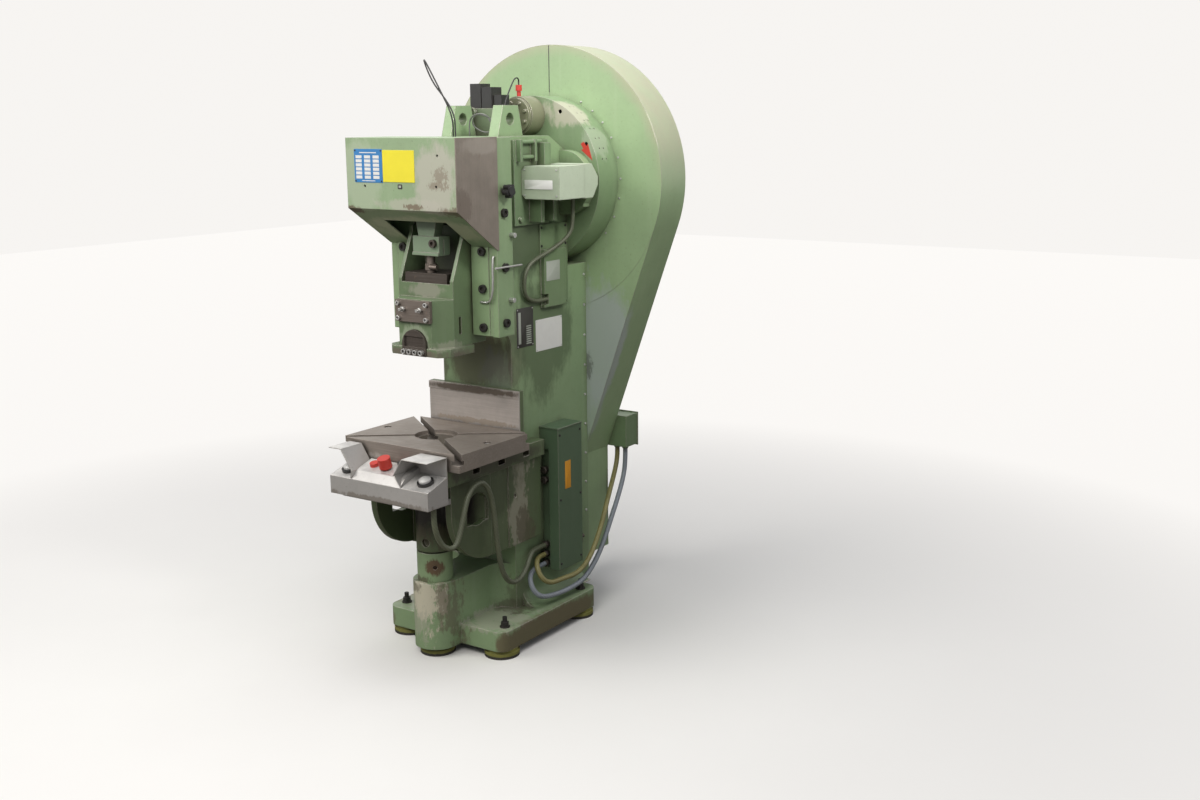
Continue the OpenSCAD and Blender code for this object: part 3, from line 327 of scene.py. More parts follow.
def group_steel_film():
    """Bare steel: fine scratches along one direction, dull clouds, and spots of rust."""
    t, i, o = new_group("SteelFilm", [("Vector", VECTOR, None), ("Stretch", VECTOR, (4, 400, 400)),
                                      ("Light", COLOR, rgb(0.5, 0.5, 0.5)),
                                      ("Dark", COLOR, rgb(0.3, 0.3, 0.3))],
                        [("Color", COLOR), ("Scratches", FLOAT), ("Clouds", FLOAT), ("Spots", FLOAT)])
    across = vector_node(t, "MULTIPLY", i["Vector"], i["Stretch"])
    scratches = noise(t, across, 1.0, 4.0, 0.6)
    clouds = noise(t, i["Vector"], 9.0, 6.0, 0.65)
    tone = mix(t, remap(t, scratches, 0.35, 0.65), i["Dark"], i["Light"])
    tone = mix(t, remap(t, clouds, 0.35, 0.75, 0.0, 0.6), tone, shade(t, i["Dark"], 0.7))
    t.links.new(tone, o["Color"])
    t.links.new(scratches, o["Scratches"])
    t.links.new(clouds, o["Clouds"])
    t.links.new(remap(t, noise(t, i["Vector"], 38.0, 6.0, 0.7), 0.60, 0.70), o["Spots"])
    return t


def group_plastic_film():
    """Plastic, rubber or enamel whose colour wanders by a small spread."""
    t, i, o = new_group("PlasticFilm", [("Vector", VECTOR, None), ("Base", COLOR, rgb(0.5, 0.5, 0.5)),
                                        ("Spread", FLOAT, 0.2)], [("Color", COLOR), ("Clouds", FLOAT)])
    clouds = noise(t, i["Vector"], 30.0, 4.0)
    low = shade(t, i["Base"], math_node(t, "SUBTRACT", 1.0, i["Spread"]))
    high = shade(t, i["Base"], math_node(t, "ADD", 1.0, i["Spread"]))
    t.links.new(mix(t, clouds, low, high), o["Color"])
    t.links.new(clouds, o["Clouds"])
    return t


def group_ribs():
    """Ribs of a flexible conduit, with dirt between them."""
    t, i, o = new_group("Ribs", [("Vector", VECTOR, None), ("Base", COLOR, rgb(0.3, 0.3, 0.3))],
                        [("Color", COLOR), ("Height", FLOAT)])
    clouds = noise(t, i["Vector"], 22.0, 5.0, 0.65)
    tone = mix(t, clouds, shade(t, i["Base"], 0.62), shade(t, i["Base"], 1.3))
    ribs = add(t, "ShaderNodeTexWave", {"Vector": i["Vector"], "Scale": 52.0, "Distortion": 1.2,
                                        "Detail": 1.0},
               wave_type="BANDS", bands_direction="DIAGONAL").outputs["Fac"]
    tone = mix(t, remap(t, ribs, 0.0, 0.35, 0.35, 0.0), tone, shade(t, i["Base"], 0.4))
    t.links.new(tone, o["Color"])
    t.links.new(ribs, o["Height"])
    return t


GROUPS = {"EdgeWear": group_edge_wear(), "Patch": group_patch(), "GrimeAndShade": group_grime_and_shade(),
          "DustAndHighlight": group_dust_and_highlight(), "Grain": group_grain(), "PaintFilm": group_paint_film(),
          "SteelFilm": group_steel_film(), "PlasticFilm": group_plastic_film(), "Ribs": group_ribs()}


def use_group(tree, name, **inputs):
    return add(tree, "ShaderNodeGroup", inputs, node_tree=GROUPS[name]).outputs


# Materials

# Colours are linear
# dark dirt and painted shade for the corners of the paint
CORNER_DIRT_AND_SHADE = rgb(0.075, 0.065, 0.042)
SPECK = rgb(0.09, 0.08, 0.06)
WORN_DARK = rgb(0.26, 0.235, 0.20)
WORN_LIGHT = rgb(0.50, 0.48, 0.44)
RUST = rgb(0.13, 0.08, 0.045)
# oil, dust and dirt with painted shade, for the corners of steel, plastic and rubber
OIL_AND_SHADE = rgb(0.05, 0.04, 0.03)
PLASTIC_DUST_AND_SHADE = rgb(0.20, 0.18, 0.14)
FOOT_DIRT_AND_SHADE = rgb(0.06, 0.052, 0.038)


def new_material(name):
    material = bpy.data.materials.new(name)
    material.use_nodes = True
    tree = material.node_tree
    tree.nodes.clear()
    out = tree.nodes.new("ShaderNodeOutputMaterial")
    shader = tree.nodes.new("ShaderNodeBsdfPrincipled")
    tree.links.new(shader.outputs[0], out.inputs[0])
    place = tree.nodes.new("ShaderNodeTexCoord").outputs["Object"]
    return material, tree, shader, place


def finish(tree, shader, color, rough, height=None, strength=0.2, distance=0.002, metal=None, normal=None):
    feed(tree, shader, {"Base Color": color, "Roughness": rough})
    if metal is not None:
        feed(tree, shader, {"Metallic": metal})
    if height is not None:
        inputs = {"Height": height, "Strength": strength, "Distance": distance}
        if normal is not None:
            inputs["Normal"] = normal
        bump = add(tree, "ShaderNodeBump", inputs)
        tree.links.new(bump.outputs[0], shader.inputs["Normal"])


def patch_mask(tree, place, centre, reach, ragged, scale):
    return use_group(tree, "Patch", Vector=place, Centre=[c * MM for c in centre],
                     Reach=[c * MM for c in reach], Ragged=ragged, Scale=scale)["Mask"]


def painted(name, base, wear=0.45, grime_and_shade=0.5, streaks=0.35, patches=(), rough=0.42, edge=0.004, metal=0.0,
            dust_and_painted_light=0.0, dust_and_highlight_color=(0.33, 0.31, 0.26), rim=None):
    """Worn machine paint, with dirt and painted shade in its corners.

    A patch is (centre, reach, ragged, scale, colour, share), in millimetres.
    A rim is (height of its axis, inner radius, outer radius, colour, share).
    """
    material, t, shader, place = new_material(name)
    film = use_group(t, "PaintFilm", Vector=place, Paint=rgb(*base))
    tone, cloud = film["Color"], film["Clouds"]
    dirt_and_shade = use_group(t, "GrimeAndShade", Vector=place, Reach=0.05, Streaks=streaks)
    washed = rgb(base[0] * 1.15 + 0.03, base[1] * 1.05 + 0.03, base[2] * 1.15 + 0.03)
    tone = mix(t, dirt_and_shade["Streaks"], tone, washed)
    # upward faces take settled dust; a near-white colour makes it a painted highlight
    tone = mix(t, use_group(t, "DustAndHighlight", Clouds=cloud, Amount=dust_and_painted_light)["Mask"], tone, rgb(*dust_and_highlight_color))
    # corners darkened by dirt and painted shade
    tone = mix(t, math_node(t, "MULTIPLY", dirt_and_shade["Corners"], grime_and_shade), tone, CORNER_DIRT_AND_SHADE)
    tone = mix(t, math_node(t, "MULTIPLY", film["Specks"], 0.3), tone, SPECK)
    for centre, reach, ragged, scale, color, share in patches:
        mask = patch_mask(t, place, centre, reach, ragged, scale)
        tone = mix(t, math_node(t, "MULTIPLY", mask, share), tone, rgb(*color))
    if rim:
        height_of_axis, inner, outer, color, share = rim
        flat = vector_node(t, "MULTIPLY", place, (1, 0, 1))
        away = vector_node(t, "SUBTRACT", flat, (0, 0, height_of_axis * MM))
        reach = math_node(t, "ADD", vector_node(t, "LENGTH", away), math_node(t, "MULTIPLY", cloud, 0.05))
        above = remap(t, add(t, "ShaderNodeSeparateXYZ", {0: away}).outputs["Z"], -0.05, 0.15)
        ring = math_node(t, "MULTIPLY", remap(t, reach, inner * MM, outer * MM), above)
        tone = mix(t, math_node(t, "MULTIPLY", ring, share), tone, rgb(*color))
    edges = use_group(t, "EdgeWear", Vector=place, Radius=edge, Amount=wear, Scale=45.0)
    worn = edges["Mask"]
    tone = mix(t, worn, tone, mix(t, noise(t, place, 90.0), WORN_DARK, WORN_LIGHT))
    gloss = math_node(t, "ADD", rough, math_node(t, "MULTIPLY", math_node(t, "SUBTRACT", cloud, 0.5), 0.25))
    grain = use_group(t, "Grain", Vector=place, Scale=300.0)["Height"]
    height = math_node(t, "ADD", math_node(t, "MULTIPLY", grain, 0.25),
                       math_node(t, "SUBTRACT", math_node(t, "MULTIPLY", cloud, 0.3), worn))
    finish(t, shader, tone, gloss, height, 0.2, 0.0012,
           math_node(t, "ADD", math_node(t, "MULTIPLY", worn, 0.7), metal, clamp=True), edges["Normal"])
    return material


def bare_metal(name, light, dark, rough=0.38, stretch=(6, 300, 300), rust=0.2, metal=0.85, patches=()):
    """Machined or rubbed steel with scratches, stains, a little rust, and oil with painted shade in its
    corners.
    """
    material, t, shader, place = new_material(name)
    film = use_group(t, "SteelFilm", Vector=place, Stretch=stretch, Light=rgb(*light), Dark=rgb(*dark))
    tone, lines, cloud, spots = (film[key] for key in ("Color", "Scratches", "Clouds", "Spots"))
    dirt_and_shade = use_group(t, "GrimeAndShade", Vector=place, Reach=0.03, Streaks=0.3)
    tone = mix(t, math_node(t, "MULTIPLY", spots, rust), tone, RUST)
    # corners darkened by oil and painted shade
    tone = mix(t, math_node(t, "MULTIPLY", dirt_and_shade["Corners"], 0.7), tone, OIL_AND_SHADE)
    dull = math_node(t, "MULTIPLY", spots, 0.7)
    for centre, reach, ragged, scale, color, share in patches:
        mask = patch_mask(t, place, centre, reach, ragged, scale)
        mask = math_node(t, "MULTIPLY", mask, share)
        tone = mix(t, mask, tone, rgb(*color))
        dull = math_node(t, "MAXIMUM", dull, mask)
    edges = use_group(t, "EdgeWear", Vector=place, Radius=0.0016, Amount=0.5, Scale=60.0)
    tone = mix(t, math_node(t, "MULTIPLY", edges["Mask"], 0.6), tone, rgb(*[min(1, c * 1.5) for c in light]))
    gloss = math_node(t, "ADD", rough, math_node(t, "MULTIPLY", cloud, 0.25))
    finish(t, shader, tone, gloss, lines, 0.12, 0.0006,
           math_node(t, "MULTIPLY", math_node(t, "SUBTRACT", 1.0, dull), metal), edges["Normal"])
    return material


def moulded(name, base, rough=0.4, spread=0.25, dust_and_painted_light=0.2):
    """Plastic, rubber, enamel or cable jacket with a fine grain, and dust with painted shade in the corners.
    """
    material, t, shader, place = new_material(name)
    film = use_group(t, "PlasticFilm", Vector=place, Base=rgb(*base), Spread=spread)
    dirt_and_shade = use_group(t, "GrimeAndShade", Vector=place, Reach=0.02, Streaks=0.2)
    # corners darkened by dust and painted shade
    tone = mix(t, math_node(t, "MULTIPLY", dirt_and_shade["Corners"], dust_and_painted_light), film["Color"], PLASTIC_DUST_AND_SHADE)
    gloss = math_node(t, "ADD", rough, math_node(t, "MULTIPLY", film["Clouds"], 0.15))
    soft = use_group(t, "EdgeWear", Vector=place, Radius=0.0008, Amount=0.0)["Normal"]
    grain = use_group(t, "Grain", Vector=place, Scale=700.0)["Height"]
    finish(t, shader, tone, gloss, grain, 0.15, 0.0005, normal=soft)
    return material


def foot_rubber():
    """Black rubber below and the yellow-green rim of the levelling mount above."""
    material, t, shader, place = new_material("foot_rubber")
    height = add(t, "ShaderNodeSeparateXYZ", {0: place}).outputs["Z"]
    ragged = math_node(t, "ADD", height, math_node(t, "MULTIPLY", noise(t, place, 60.0, 4.0), 0.006))
    cloud = noise(t, place, 35.0, 5.0, 0.65)
    rim = mix(t, cloud, rgb(0.115, 0.12, 0.025), rgb(0.30, 0.29, 0.075))
    black = mix(t, cloud, rgb(0.014, 0.014, 0.012), rgb(0.045, 0.042, 0.034))
    tone = mix(t, remap(t, ragged, 0.011, 0.014), black, rim)
    dirt_and_shade = use_group(t, "GrimeAndShade", Vector=place, Reach=0.02, Streaks=0.2)
    # corners darkened by dirt and painted shade
    tone = mix(t, math_node(t, "MULTIPLY", dirt_and_shade["Corners"], 0.5), tone, FOOT_DIRT_AND_SHADE)
    grain = use_group(t, "Grain", Vector=place, Scale=500.0)["Height"]
    finish(t, shader, tone, 0.68, grain, 0.2, 0.0006)
    return material


def conduit(name, base):
    """Ribbed flexible conduit, its ribs drawn as a fine bump."""
    material, t, shader, place = new_material(name)
    ribs = use_group(t, "Ribs", Vector=place, Base=rgb(*base))
    finish(t, shader, ribs["Color"], 0.45, ribs["Height"], 0.35, 0.0012)
    return material


# Paints, and the patches of wear, dirt, painted shade and painted light on them. Places and reaches are in
# millimetres.
GREEN = (0.248, 0.352, 0.192)
GREEN_DARK = (0.160, 0.235, 0.125)
PALE = (0.47, 0.455, 0.39)
# pale blue-grey on the flywheel guard: rubbed paint film with a painted sheen
GREY_FILM_AND_SHEEN = (0.41, 0.46, 0.455)
BROWN = (0.10, 0.068, 0.042)
DIRT = (0.095, 0.082, 0.052)
DUST = (0.40, 0.375, 0.32)

FRAME_PATCHES = [
    ((20, -394, 200), (72, 50, 115), 1.4, 13.0, (0.64, 0.59, 0.47), 0.85),
    # right side of the nose: dirt and painted shade
    ((88, -330, 170), (44, 80, 130), 1.3, 12.0, (0.165, 0.140, 0.100), 0.65),
    ((-20, -380, 120), (40, 60, 60), 1.6, 18.0, (0.42, 0.42, 0.33), 0.55),
    ((-40, -385, 245), (45, 40, 26), 0.9, 30.0, DIRT, 0.6),
    ((150, -170, 101), (130, 130, 20), 1.4, 16.0, (0.46, 0.44, 0.37), 0.5),
    ((120, -60, 103), (90, 60, 30), 0.8, 20.0, DIRT, 0.6),
    ((258, -60, 56), (40, 450, 52), 0.35, 14.0, (0.135, 0.090, 0.053), 0.8),
    # throat below the head: oil stain and painted shade
    ((0, -64, 985), (175, 30, 120), 0.55, 7.0, (0.105, 0.092, 0.055), 0.75),
    ((90, -70, 930), (90, 24, 90), 0.7, 9.0, (0.14, 0.15, 0.13), 0.6),
    # underside of the head: oil stain and painted shade
    ((0, -110, 1090), (170, 90, 26), 0.6, 10.0, (0.085, 0.068, 0.04), 0.8),
    ((149, -40, 1010), (16, 70, 150), 0.7, 9.0, DIRT, 0.5),
    # darker green on the column's right side: painted shadow of the flywheel guard and switch box
    ((150, 110, 1030), (16, 180, 230), 0.5, 6.0, (0.085, 0.122, 0.060), 0.75),
    ((150, 40, 1400), (30, 190, 170), 0.4, 6.0, (0.062, 0.086, 0.044), 0.8),
    # darker green on the column's side beside the knee: painted shade
    ((160, -60, 620), (24, 80, 300), 0.6, 6.0, (0.095, 0.125, 0.062), 0.65),
    ((168, -64, 150), (70, 90, 80), 0.8, 10.0, (0.12, 0.105, 0.075), 0.5),
    ((-150, 60, 560), (24, 190, 330), 0.6, 6.0, (0.155, 0.215, 0.115), 0.65),
    ((-150, 120, 1380), (24, 150, 190), 0.6, 6.0, (0.310, 0.400, 0.270), 0.55),
    ((-150, -40, 980), (24, 80, 90), 0.9, 16.0, DIRT, 0.6),
    ((-258, -60, 56), (40, 450, 52), 0.4, 14.0, (0.135, 0.095, 0.058), 0.7),
    ((-150, -170, 101), (120, 110, 16), 0.8, 18.0, DUST, 0.5),
]
GUARD_FRONT_PATCHES = [
    ((150, -416, 1590), (95, 40, 130), 0.5, 8.0, PALE, 0.8),
    # lighter green on the left of the guard front: painted light
    ((-160, -416, 1610), (100, 40, 130), 0.5, 7.0, (0.39, 0.46, 0.33), 0.7),
    ((40, -410, 1518), (150, 40, 26), 0.6, 12.0, PALE, 0.6),
    ((58, -414, 1512), (46, 24, 9), 1.2, 70.0, (0.15, 0.10, 0.065), 0.8),
    ((165, -416, 1612), (30, 16, 26), 1.4, 60.0, (0.20, 0.15, 0.11), 0.6),
    ((150, -416, 1580), (40, 16, 14), 1.3, 70.0, (0.20, 0.15, 0.11), 0.6),
    ((205, -400, 1500), (60, 60, 20), 0.9, 26.0, (0.15, 0.11, 0.075), 0.8),
    ((-215, -405, 1496), (48, 60, 14), 0.7, 30.0, BROWN, 0.85),
    # pale green on the guard's sloping underside: painted light
    ((0, -330, 1425), (270, 110, 80), 0.4, 6.0, (0.50, 0.54, 0.38), 0.8),
]
WHEEL_PATCHES = [
    # rubbed paint film with a painted sheen, low on the guard front
    ((215, GUARD_FACE, 985), (150, 50, 250), 0.5, 5.0, GREY_FILM_AND_SHEEN, 0.8),
    ((150, GUARD_FACE, 760), (90, 40, 160), 0.5, 6.0, GREY_FILM_AND_SHEEN, 0.6),
    ((-215, GUARD_FACE, 1000), (130, 50, 200), 0.5, 5.0, GREY_FILM_AND_SHEEN, 0.5),
    ((140, GUARD_FACE, 900), (40, 20, 60), 0.9, 20.0, (0.07, 0.075, 0.06), 0.6),
    ((0, GUARD_BACK, 1480), (330, 14, 260), 0.6, 5.0, (0.255, 0.365, 0.200), 0.7),
    ((-120, GUARD_BACK, 760), (150, 14, 260), 0.8, 6.0, (0.300, 0.350, 0.285), 0.6),
    ((80, GUARD_BACK, 360), (170, 14, 150), 0.7, 9.0, (0.125, 0.145, 0.085), 0.65),
    ((-60, GUARD_BACK, 190), (220, 14, 46), 0.5, 14.0, BROWN, 0.7),
]
DRUM_PATCHES = [
    ((170, 290, 1805), (130, 60, 60), 0.55, 9.0, (0.50, 0.465, 0.385), 0.75),
    ((250, 300, 1700), (50, 70, 80), 0.6, 10.0, (0.38, 0.42, 0.33), 0.5),
]
KNEE_PATCHES = [
    ((176, -72, 480), (14, 60, 190), 1.4, 12.0, (0.36, 0.34, 0.27), 0.7),
    ((176, -30, 400), (14, 50, 90), 1.3, 14.0, DIRT, 0.75),
    # near-black on the knee flange under the table: painted shade
    ((212, -215, 666), (46, 290, 36), 0.5, 10.0, (0.048, 0.044, 0.030), 0.75),
    ((0, -472, 668), (210, 14, 34), 0.5, 10.0, (0.20, 0.19, 0.14), 0.7),
    ((176, -330, 430), (12, 100, 80), 0.7, 8.0, (0.072, 0.095, 0.050), 0.6),
    # darker green high on the knee side under the table: painted shade
    ((176, -250, 560), (14, 190, 110), 0.6, 8.0, (0.060, 0.078, 0.040), 0.75),
    # near-black inside the knee, seen through its windows: painted shade
    ((0, -250, 520), (160, 200, 150), 0.2, 8.0, (0.008, 0.007, 0.005), 1.0),
    ((0, -316, 420), (80, 80, 60), 0.8, 16.0, DIRT, 0.6),
]
SLIDE_PATCHES = [
    ((0, -300, 1040), (180, 130, 26), 0.45, 12.0, (0.14, 0.118, 0.092), 0.9),
    ((90, -340, 1066), (60, 50, 20), 1.2, 22.0, DUST, 0.35),
    ((0, -400, 1088), (80, 120, 46), 0.7, 12.0, (0.37, 0.43, 0.31), 0.6),
    ((0, -320, 1240), (90, 20, 24), 0.6, 14.0, (0.36, 0.33, 0.29), 0.55),
    # near-black inside the slide's window: painted shade
    ((0, -230, 1330), (110, 60, 110), 0.4, 8.0, (0.06, 0.06, 0.045), 0.75),
]
TABLE_PATCHES = [
    # near-white on the left of the table top: painted reflection of the ceiling light
    ((-160, -340, 705), (170, 150, 30), 0.35, 5.0, (0.85, 0.80, 0.74), 0.6),
    # dark band low on the table's front face: dark steel and painted shade
    ((0, -492, 676), (270, 42, 28), 0.2, 9.0, (0.070, 0.055, 0.044), 0.85),
]
NUT_PATCHES = [((39, -362, 315), (36, 36, 30), 0.5, 34.0, (0.12, 0.06, 0.035), 0.9),
               ((-20, -374, 270), (60, 20, 14), 0.9, 30.0, DIRT, 0.8)]

MATERIALS = {
    "frame": painted("green_paint", GREEN, wear=0.5, grime_and_shade=0.85, dust_and_painted_light=0.2, patches=FRAME_PATCHES),
    "front_guard": painted("green_guard_paint", (0.275, 0.378, 0.222), wear=0.42, grime_and_shade=0.5,
                           patches=GUARD_FRONT_PATCHES, edge=0.003),
    "wheel_guard": painted("green_wheel_paint", (0.320, 0.445, 0.250), wear=0.52, grime_and_shade=0.5,
                           patches=WHEEL_PATCHES, rough=0.36, edge=0.003,
                           rim=(SHAFT_Z, 455, 500, (0.46, 0.40, 0.31), 0.6)),
    "drum": painted("green_drum_paint", (0.200, 0.286, 0.156), wear=0.55, grime_and_shade=0.6,
                    patches=DRUM_PATCHES, edge=0.003),
    "green": painted("green_cover_paint", GREEN, wear=0.42, grime_and_shade=0.6, edge=0.003),
    # side cover paint: the machine green darkened as painted shadow of the guard and switch box above
    "side_cover": painted("green_side_paint_and_shade", (0.165, 0.238, 0.125), wear=0.45, grime_and_shade=0.8, edge=0.003),
    # knee paint: the machine green, dirty, and darkened further as painted shade below the table
    "knee": painted("green_knee_paint_and_shade", (0.105, 0.143, 0.072), wear=0.62, grime_and_shade=0.95, streaks=0.5,
                    patches=KNEE_PATCHES),
    "nut": painted("green_nut_paint", GREEN, wear=0.55, grime_and_shade=0.8, patches=NUT_PATCHES),
    "slide": painted("green_slide_paint", (0.142, 0.205, 0.108), wear=0.68, grime_and_shade=0.85,
                     patches=SLIDE_PATCHES),
    "green_dark": painted("green_dark_paint", GREEN_DARK, wear=0.4, grime_and_shade=0.8),
    "rod": painted("green_rod_paint", (0.22, 0.30, 0.20), wear=0.6, grime_and_shade=0.9),
    "switch": painted("green_switch_paint", (0.510, 0.590, 0.450), wear=0.32, streaks=0.15, rough=0.45),
    "duct": painted("green_duct_paint", (0.090, 0.145, 0.085), wear=0.32, streaks=0.2, rough=0.4),
    "valve": painted("green_valve_paint", (0.15, 0.19, 0.12), wear=0.4, grime_and_shade=0.9, dust_and_painted_light=0.8),
    "chamber": painted("chamber_paint", (0.20, 0.21, 0.13), wear=0.4, grime_and_shade=0.9, dust_and_painted_light=0.9),
    "steel": bare_metal("table_steel", (0.340, 0.303, 0.270), (0.262, 0.228, 0.200), rough=0.36, rust=0.15,
                        metal=0.7, patches=TABLE_PATCHES),
    "throat": bare_metal("throat_steel", (0.54, 0.50, 0.47), (0.47, 0.43, 0.40), rust=0.08, rough=0.42,
                         metal=0.6,
                         patches=[((0, -92, 873), (230, 14, 16), 0.4, 14.0, (0.085, 0.065, 0.045), 0.92),
                                  ((0, -92, 762), (220, 12, 10), 1.0, 30.0, (0.30, 0.24, 0.18), 0.7)]),
    "dark_steel": bare_metal("dark_steel", (0.125, 0.108, 0.096), (0.096, 0.081, 0.071), rust=0.5,
                             rough=0.42),
    "cap_steel": bare_metal("cap_steel", (0.250, 0.215, 0.190), (0.200, 0.168, 0.147), rust=0.4, rough=0.4),
    "side_steel": bare_metal("side_steel", (0.287, 0.251, 0.216), (0.262, 0.228, 0.196), rust=0.35,
                             stretch=(300, 300, 8), rough=0.42, metal=0.5,
                             patches=[((228, -400, 1520), (10, 60, 60), 0.7, 18.0, (0.13, 0.10, 0.08), 0.6),
                                      ((228, -300, 1700), (10, 110, 30), 0.5, 8.0, (0.34, 0.31, 0.27), 0.5)]),
    "black_steel": bare_metal("black_steel", (0.050, 0.048, 0.045), (0.022, 0.021, 0.020), rough=0.45,
                              rust=0.25, metal=0.5),
    "cast_iron": bare_metal("cast_iron", (0.16, 0.155, 0.15), (0.09, 0.09, 0.088), rough=0.5, rust=0.2),
    "bright_steel": bare_metal("bright_steel", (0.66, 0.66, 0.65), (0.48, 0.48, 0.47), rough=0.28, rust=0.05),
    "bronze": bare_metal("bronze", (0.55, 0.38, 0.16), (0.36, 0.24, 0.10), rust=0.1),
    # console paint: its near-white film on upward faces is a painted highlight, with some dust
    "hammer": painted("hammer_paint", (0.46, 0.45, 0.44), wear=0.3, streaks=0.05, rough=0.34, metal=0.35,
                      grime_and_shade=0.4, edge=0.003, dust_and_painted_light=0.7, dust_and_highlight_color=(0.82, 0.81, 0.79),
                      patches=[((0, -560, 596), (230, 60, 12), 0.8, 20.0, (0.22, 0.19, 0.16), 0.7)]),
    "rubber": foot_rubber(),
    "belt": moulded("belt_rubber", (0.012, 0.012, 0.012), rough=0.8),
    "black": moulded("black_plastic", (0.016, 0.016, 0.017), rough=0.40),
    "red": moulded("red_plastic", (0.52, 0.040, 0.028), rough=0.38, spread=0.15),
    "palm": moulded("palm_cap", (0.58, 0.58, 0.57), rough=0.25),
    "conduit_old": conduit("conduit_old", (0.125, 0.140, 0.090)),
    "conduit_olive": conduit("conduit_olive", (0.27, 0.245, 0.095)),
    "conduit_grey": conduit("conduit_grey", (0.27, 0.30, 0.34)),
    "cable_black": moulded("cable_black", (0.014, 0.014, 0.014), rough=0.4),
    "cable_grey": moulded("cable_grey", (0.14, 0.14, 0.135), rough=0.45),
    "blue_plate": moulded("blue_enamel", (0.035, 0.20, 0.48), rough=0.35, spread=0.10, dust_and_painted_light=0.4),
    "yellow_plate": moulded("yellow_enamel", (0.80, 0.70, 0.035), rough=0.38, spread=0.06, dust_and_painted_light=0.3),
    "orange_plate": moulded("orange_enamel", (0.75, 0.33, 0.02), rough=0.4, spread=0.08, dust_and_painted_light=0.3),
    "white_plate": moulded("white_enamel", (0.74, 0.74, 0.72), rough=0.4, spread=0.06, dust_and_painted_light=0.5),
    "pale_plate": moulded("pale_enamel", (0.40, 0.43, 0.38), rough=0.45, spread=0.08, dust_and_painted_light=0.5),
    "dark_plate": moulded("dark_enamel", (0.035, 0.032, 0.030), rough=0.4, spread=0.2),
}

NODE_MATERIALS = {
    "frame": ["frame_casting"],
    "front_guard": ["front_guard"],
    "wheel_guard": ["guard_left", "guard_right", "guard_back"],
    "drum": ["drum_cover"],
    "green": ["gib_strips", "chain_cover"],
    "side_cover": ["side_cover"],
    "knee": ["knee_casting"],
    "nut": ["adjusting_nut"],
    "slide": ["slide_casting"],
    "green_dark": ["switch_bracket", "motor", "terminal_box"],
    "rod": ["connecting_rod"],
    "switch": ["switch_box"],
    "duct": ["duct_box"],
    "valve": ["valve_block"],
    "chamber": ["air_chamber"],
    "steel": ["bolster_plate"],
    "throat": ["throat_plate"],
    "cap_steel": ["slide_cap_plate", "ball_screw"],
    "dark_steel": ["jack_spindle", "shank_clamp", "ball_retainer", "rod_clamp_bolt",
                   "cable_glands", "air_unit"],
    "side_steel": ["front_guard_side"],
    "black_steel": ["foot_studs", "gib_bolts"],
    "bright_steel": ["eccentric_shaft", "slide_bolts", "lube_pipes"],
    "cast_iron": ["flywheel", "clutch_hub", "motor_pulley"],
    "bronze": ["shaft_bushes"],
    "hammer": ["console_body", "console_hoods"],
    "rubber": ["foot_pads"],
    "belt": ["v_belts"],
    "black": ["guard_knob", "valve_coils", "palm_rings", "key_switch"],
    "red": ["start_button", "stop_button", "pressure_switch"],
    "palm": ["palm_button_left", "palm_button_right"],
}


def set_material(obj, material):
    if obj.material_slots:
        for s in obj.material_slots:
            s.material = material
    else:
        obj.data.materials.append(material)


for key, names in NODE_MATERIALS.items():
    for node_name in names:
        set_material(NODES[node_name], MATERIALS[key])
for key, objects in cords.items():
    for cord in objects:
        set_material(cord, MATERIALS[key])


# Plates, screws and marks

PLATE_SINK = 0.2      # how far a plate starts below its face

# Outlines of the plates on their faces, in millimetres: left, right, bottom and top
BLUE_PLATE = (-192, -72, 1585, 1690)
YELLOW_PLATE = (-71, 61, 1588, 1687)
BADGE = (-11, 8, 1567, 1582)
SWITCH_LABEL = (172, 286, 1551, 1581)
COVER_LABEL = (117, 195, 1232, 1300)
DARK_PLATE = (-31, 62, 1017, 1152)
PALE_PLATE = (76, 230, 990, 1100)
ORANGE_LABEL = (126, 160, 500, 600)

# Across, up and out of each face
AXES = {"front": ((1, 0, 0), (0, 0, 1), (0, -1, 0)), "back": ((-1, 0, 0), (0, 0, 1), (0, 1, 0)),
        "right": ((0, 1, 0), (0, 0, 1), (1, 0, 0)), "left": ((0, -1, 0), (0, 0, 1), (-1, 0, 0)),
        "top": ((1, 0, 0), (0, 1, 0), (0, 0, 1))}


